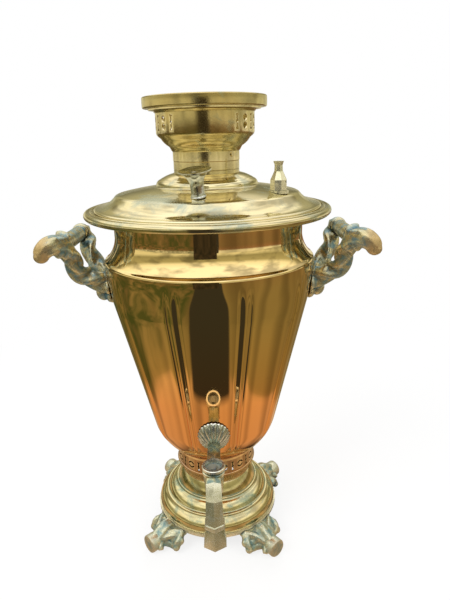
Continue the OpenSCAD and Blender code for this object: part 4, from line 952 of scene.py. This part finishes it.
def floor_finish():
    mat, nt, bsdf = bare_material("pale_floor")
    bsdf.inputs["Base Color"].default_value = (0.86, 0.86, 0.85, 1)
    bsdf.inputs["Roughness"].default_value = 0.8
    glow = add(nt, "ShaderNodeEmission", Color=(1, 1, 1, 1), Strength=1.0)
    seen = add(nt, "ShaderNodeLightPath").outputs["Is Camera Ray"]
    white = ramp(nt, axis_distance(nt), grey(WHITE_FROM, WHITE_ALL, 0.80, 1.0))
    blend = add(nt, "ShaderNodeMixShader")
    nt.links.new(calculated(nt, "MULTIPLY", seen, white), blend.inputs[0])
    nt.links.new(bsdf.outputs[0], blend.inputs[1])
    nt.links.new(glow.outputs[0], blend.inputs[2])
    nt.links.new(blend.outputs[0], nt.nodes["Material Output"].inputs["Surface"])
    return mat

floor = plane("floor", 12, (0, 0, 0))
floor.data.materials.append(floor_finish())
print("floor", tuple(floor.dimensions))

# %% [markdown]
# The world is white to the camera and plain grey to the light it gives. Only
# reflections see a sky over dark trees, which colours the brass.

# %% World
SKY_LOW, SKY_HIGH = -0.2, 1.0           # from just below the horizon to straight up
SKY_BRIGHTER, PLAIN_LIGHT = (1.5, 1.5, 1.5), (0.74, 0.74, 0.74)

def mirrored_sky(nt):
    """What the brass sees: pale ground, dark trees, then a sky that whitens upwards."""
    up = share(nt, coordinate(nt, "Z", "Generated"), SKY_LOW, SKY_HIGH)
    bands = ramp(nt, up, [(0.0, (0.60, 0.54, 0.36)), (0.22, (0.60, 0.56, 0.38)), (0.30, (0.26, 0.24, 0.13)),
                          (0.46, (0.36, 0.33, 0.19)), (0.54, (0.80, 0.76, 0.60)),
                          (0.68, (0.98, 0.96, 0.88)), (1.0, (1, 1, 1))])
    trees = ramp(nt, noise(nt, 2.3, 3.0, 0.5, 0.0, "Generated"), grey(0.40, 0.55, 0.48, 1.0))
    return mixed(nt, 1.0, mixed(nt, 1.0, bands, trees, "MULTIPLY"), SKY_BRIGHTER, "MULTIPLY")

world = bpy.data.worlds.new("studio")
bpy.context.scene.world = world
world.use_nodes = True
nt = world.node_tree
add(nt, "ShaderNodeTexCoord", name="place")
path = add(nt, "ShaderNodeLightPath")
seen = mixed(nt, path.outputs["Is Glossy Ray"], PLAIN_LIGHT, mirrored_sky(nt))
seen = mixed(nt, path.outputs["Is Camera Ray"], seen, (1.0, 1.0, 1.0))
nt.links.new(seen, nt.nodes["Background"].inputs["Color"])
print("world", world.name)

# %% [markdown]
# Cards that only reflections can see stand about: one lies on the floor, warm
# near the samovar and brown further off, and a dark one stands in front. The
# ground card has four layers, each a function: rings of colour, streaks that
# run outwards so that each rib bends a line, leaves on the left, and a dark
# band straight ahead, which goes on up the dark card.

# %% Layers of the ground card
GROUND_REACH = 4.0                      # metres, for rings of colour
LEAVES_FROM, LEAVES_FULL = -0.16, -0.26           # metres to the left of the tap
BAND_FROM, BAND_FULL, BAND_WIDER = -0.215, -0.235, 0.20         # ahead of the tap; growth with distance

def rings(nt, far):
    """A painted shadow under the base, warm beside it, brown further off, pale at the end."""
    wave = calculated(nt, "MULTIPLY_ADD", noise(nt, 5, 1.0), 0.05, -0.025)
    return ramp(nt, calculated(nt, "ADD", far, wave),
                [(0.0, (0.01, 0.01, 0.01)), (0.017, (0.02, 0.02, 0.015)), (0.030, (0.66, 0.47, 0.27)),
                 (0.065, (0.76, 0.50, 0.26)), (0.071, (0.36, 0.27, 0.11)), (0.12, (0.28, 0.21, 0.085)),
                 (0.50, (0.26, 0.16, 0.07)), (0.70, (0.34, 0.18, 0.09)), (0.78, (0.92, 0.86, 0.66))])

def streaks(nt):
    """Lighter and darker rays that run outwards."""
    round_it = add(nt, "ShaderNodeTexGradient", gradient_type="RADIAL")
    nt.links.new(nt.nodes["place"].outputs["Object"], round_it.inputs["Vector"])
    rays = add(nt, "ShaderNodeTexNoise", noise_dimensions="1D", Scale=17.0, Detail=1.5)
    nt.links.new(round_it.outputs["Fac"], rays.inputs["W"])
    return ramp(nt, rays.outputs["Fac"], grey(0.36, 0.62, 0.62, 1.08))

def leaf_shade(nt, far):
    """Where dark leaves lie: on the left, and not close by."""
    leaves = ramp(nt, noise(nt, 4.5, 3.0, 0.6, 0.8), grey(0.38, 0.60, 0.0, 0.85))
    off = mixed(nt, 1.0, leaves, ramp(nt, far, grey(0.065, 0.08)), "MULTIPLY")
    return mixed(nt, 1.0, off, share(nt, coordinate(nt, "X"), LEAVES_FROM, LEAVES_FULL), "MULTIPLY")

def dark_band(nt):
    """A band straight ahead of the tap that is wider further off."""
    aside = calculated(nt, "ABSOLUTE", calculated(nt, "ADD", coordinate(nt, "X"), 0.012))
    spread = calculated(nt, "MULTIPLY_ADD", coordinate(nt, "Y"), BAND_WIDER, aside)
    width = ramp(nt, spread, grey(0.030, 0.045, 1.0, 0.0))
    return mixed(nt, 1.0, width, share(nt, coordinate(nt, "Y"), BAND_FROM, BAND_FULL), "MULTIPLY")

print("the ground card reaches", GROUND_REACH, "m")

# %% Cards that only reflections see
def warm_ground(nt):
    far = share(nt, axis_distance(nt), 0, GROUND_REACH)
    ground = mixed(nt, 1.0, rings(nt, far), streaks(nt), "MULTIPLY")
    ground = mixed(nt, leaf_shade(nt, far), ground, (0.05, 0.075, 0.018))
    return mixed(nt, dark_band(nt), ground, (0.045, 0.04, 0.03))

def dark_front(nt):
    return ramp(nt, noise(nt, 6, 2.0), [(0.3, (0.02, 0.018, 0.012)), (0.7, (0.07, 0.05, 0.03))])

def card(name, size, place, turn, paint):
    """A glowing plane that only reflections see, in the colours that `paint` gives."""
    obj = plane(name, size, place, turn)
    obj.visible_camera = obj.visible_diffuse = obj.visible_shadow = False
    obj.visible_transmission = obj.visible_volume_scatter = False
    mat, nt, bsdf = bare_material(name)
    nt.nodes.remove(bsdf)
    glow = add(nt, "ShaderNodeEmission", Strength=1.0)
    nt.links.new(paint(nt), glow.inputs["Color"])
    nt.links.new(glow.outputs[0], nt.nodes["Material Output"].inputs["Surface"])
    obj.data.materials.append(mat)
    print("card", name)
    return obj

card("warm_ground_card", 12, (0, 0, 0.0006), (0, 0, 0), warm_ground)
front = card("dark_front_card", 1.0, (-0.05, -0.95, 0.05), (90, 0, -6), dark_front)
front.scale = (0.42, 1.1, 1)

# %% [markdown]
# Three big soft lamps light the piece. Reflections don't see them, because the
# sky already gives the brass its highlights.

# %% Lamps
def lamp(name, place, aim_z, size, watts, tint=(1, 1, 1)):
    """A square lamp that looks at the axis at the height aim_z."""
    data = bpy.data.lights.new(name, "AREA")
    data.energy, data.size, data.color = watts, size, tint
    obj = bpy.data.objects.new(name, data)
    obj.location = place
    obj.rotation_euler = (Vector((0, 0, aim_z)) - Vector(place)).to_track_quat("-Z", "Y").to_euler()
    obj.visible_glossy = False
    bpy.context.collection.objects.link(obj)
    print(name, watts, "W")

lamp("key_lamp", (-1.3, -1.1, 1.9), 0.25, 1.2, 34)
lamp("fill_lamp", (1.5, -0.9, 1.3), 0.25, 1.4, 12, (1, 0.97, 0.92))
lamp("back_lamp", (0.3, 1.6, 1.6), 0.3, 1.2, 14)

# %% [markdown]
# The view transform stays Standard, so a colour renders about as it is
# written.

# %% Finish
bpy.context.scene.view_settings.view_transform = "Standard"
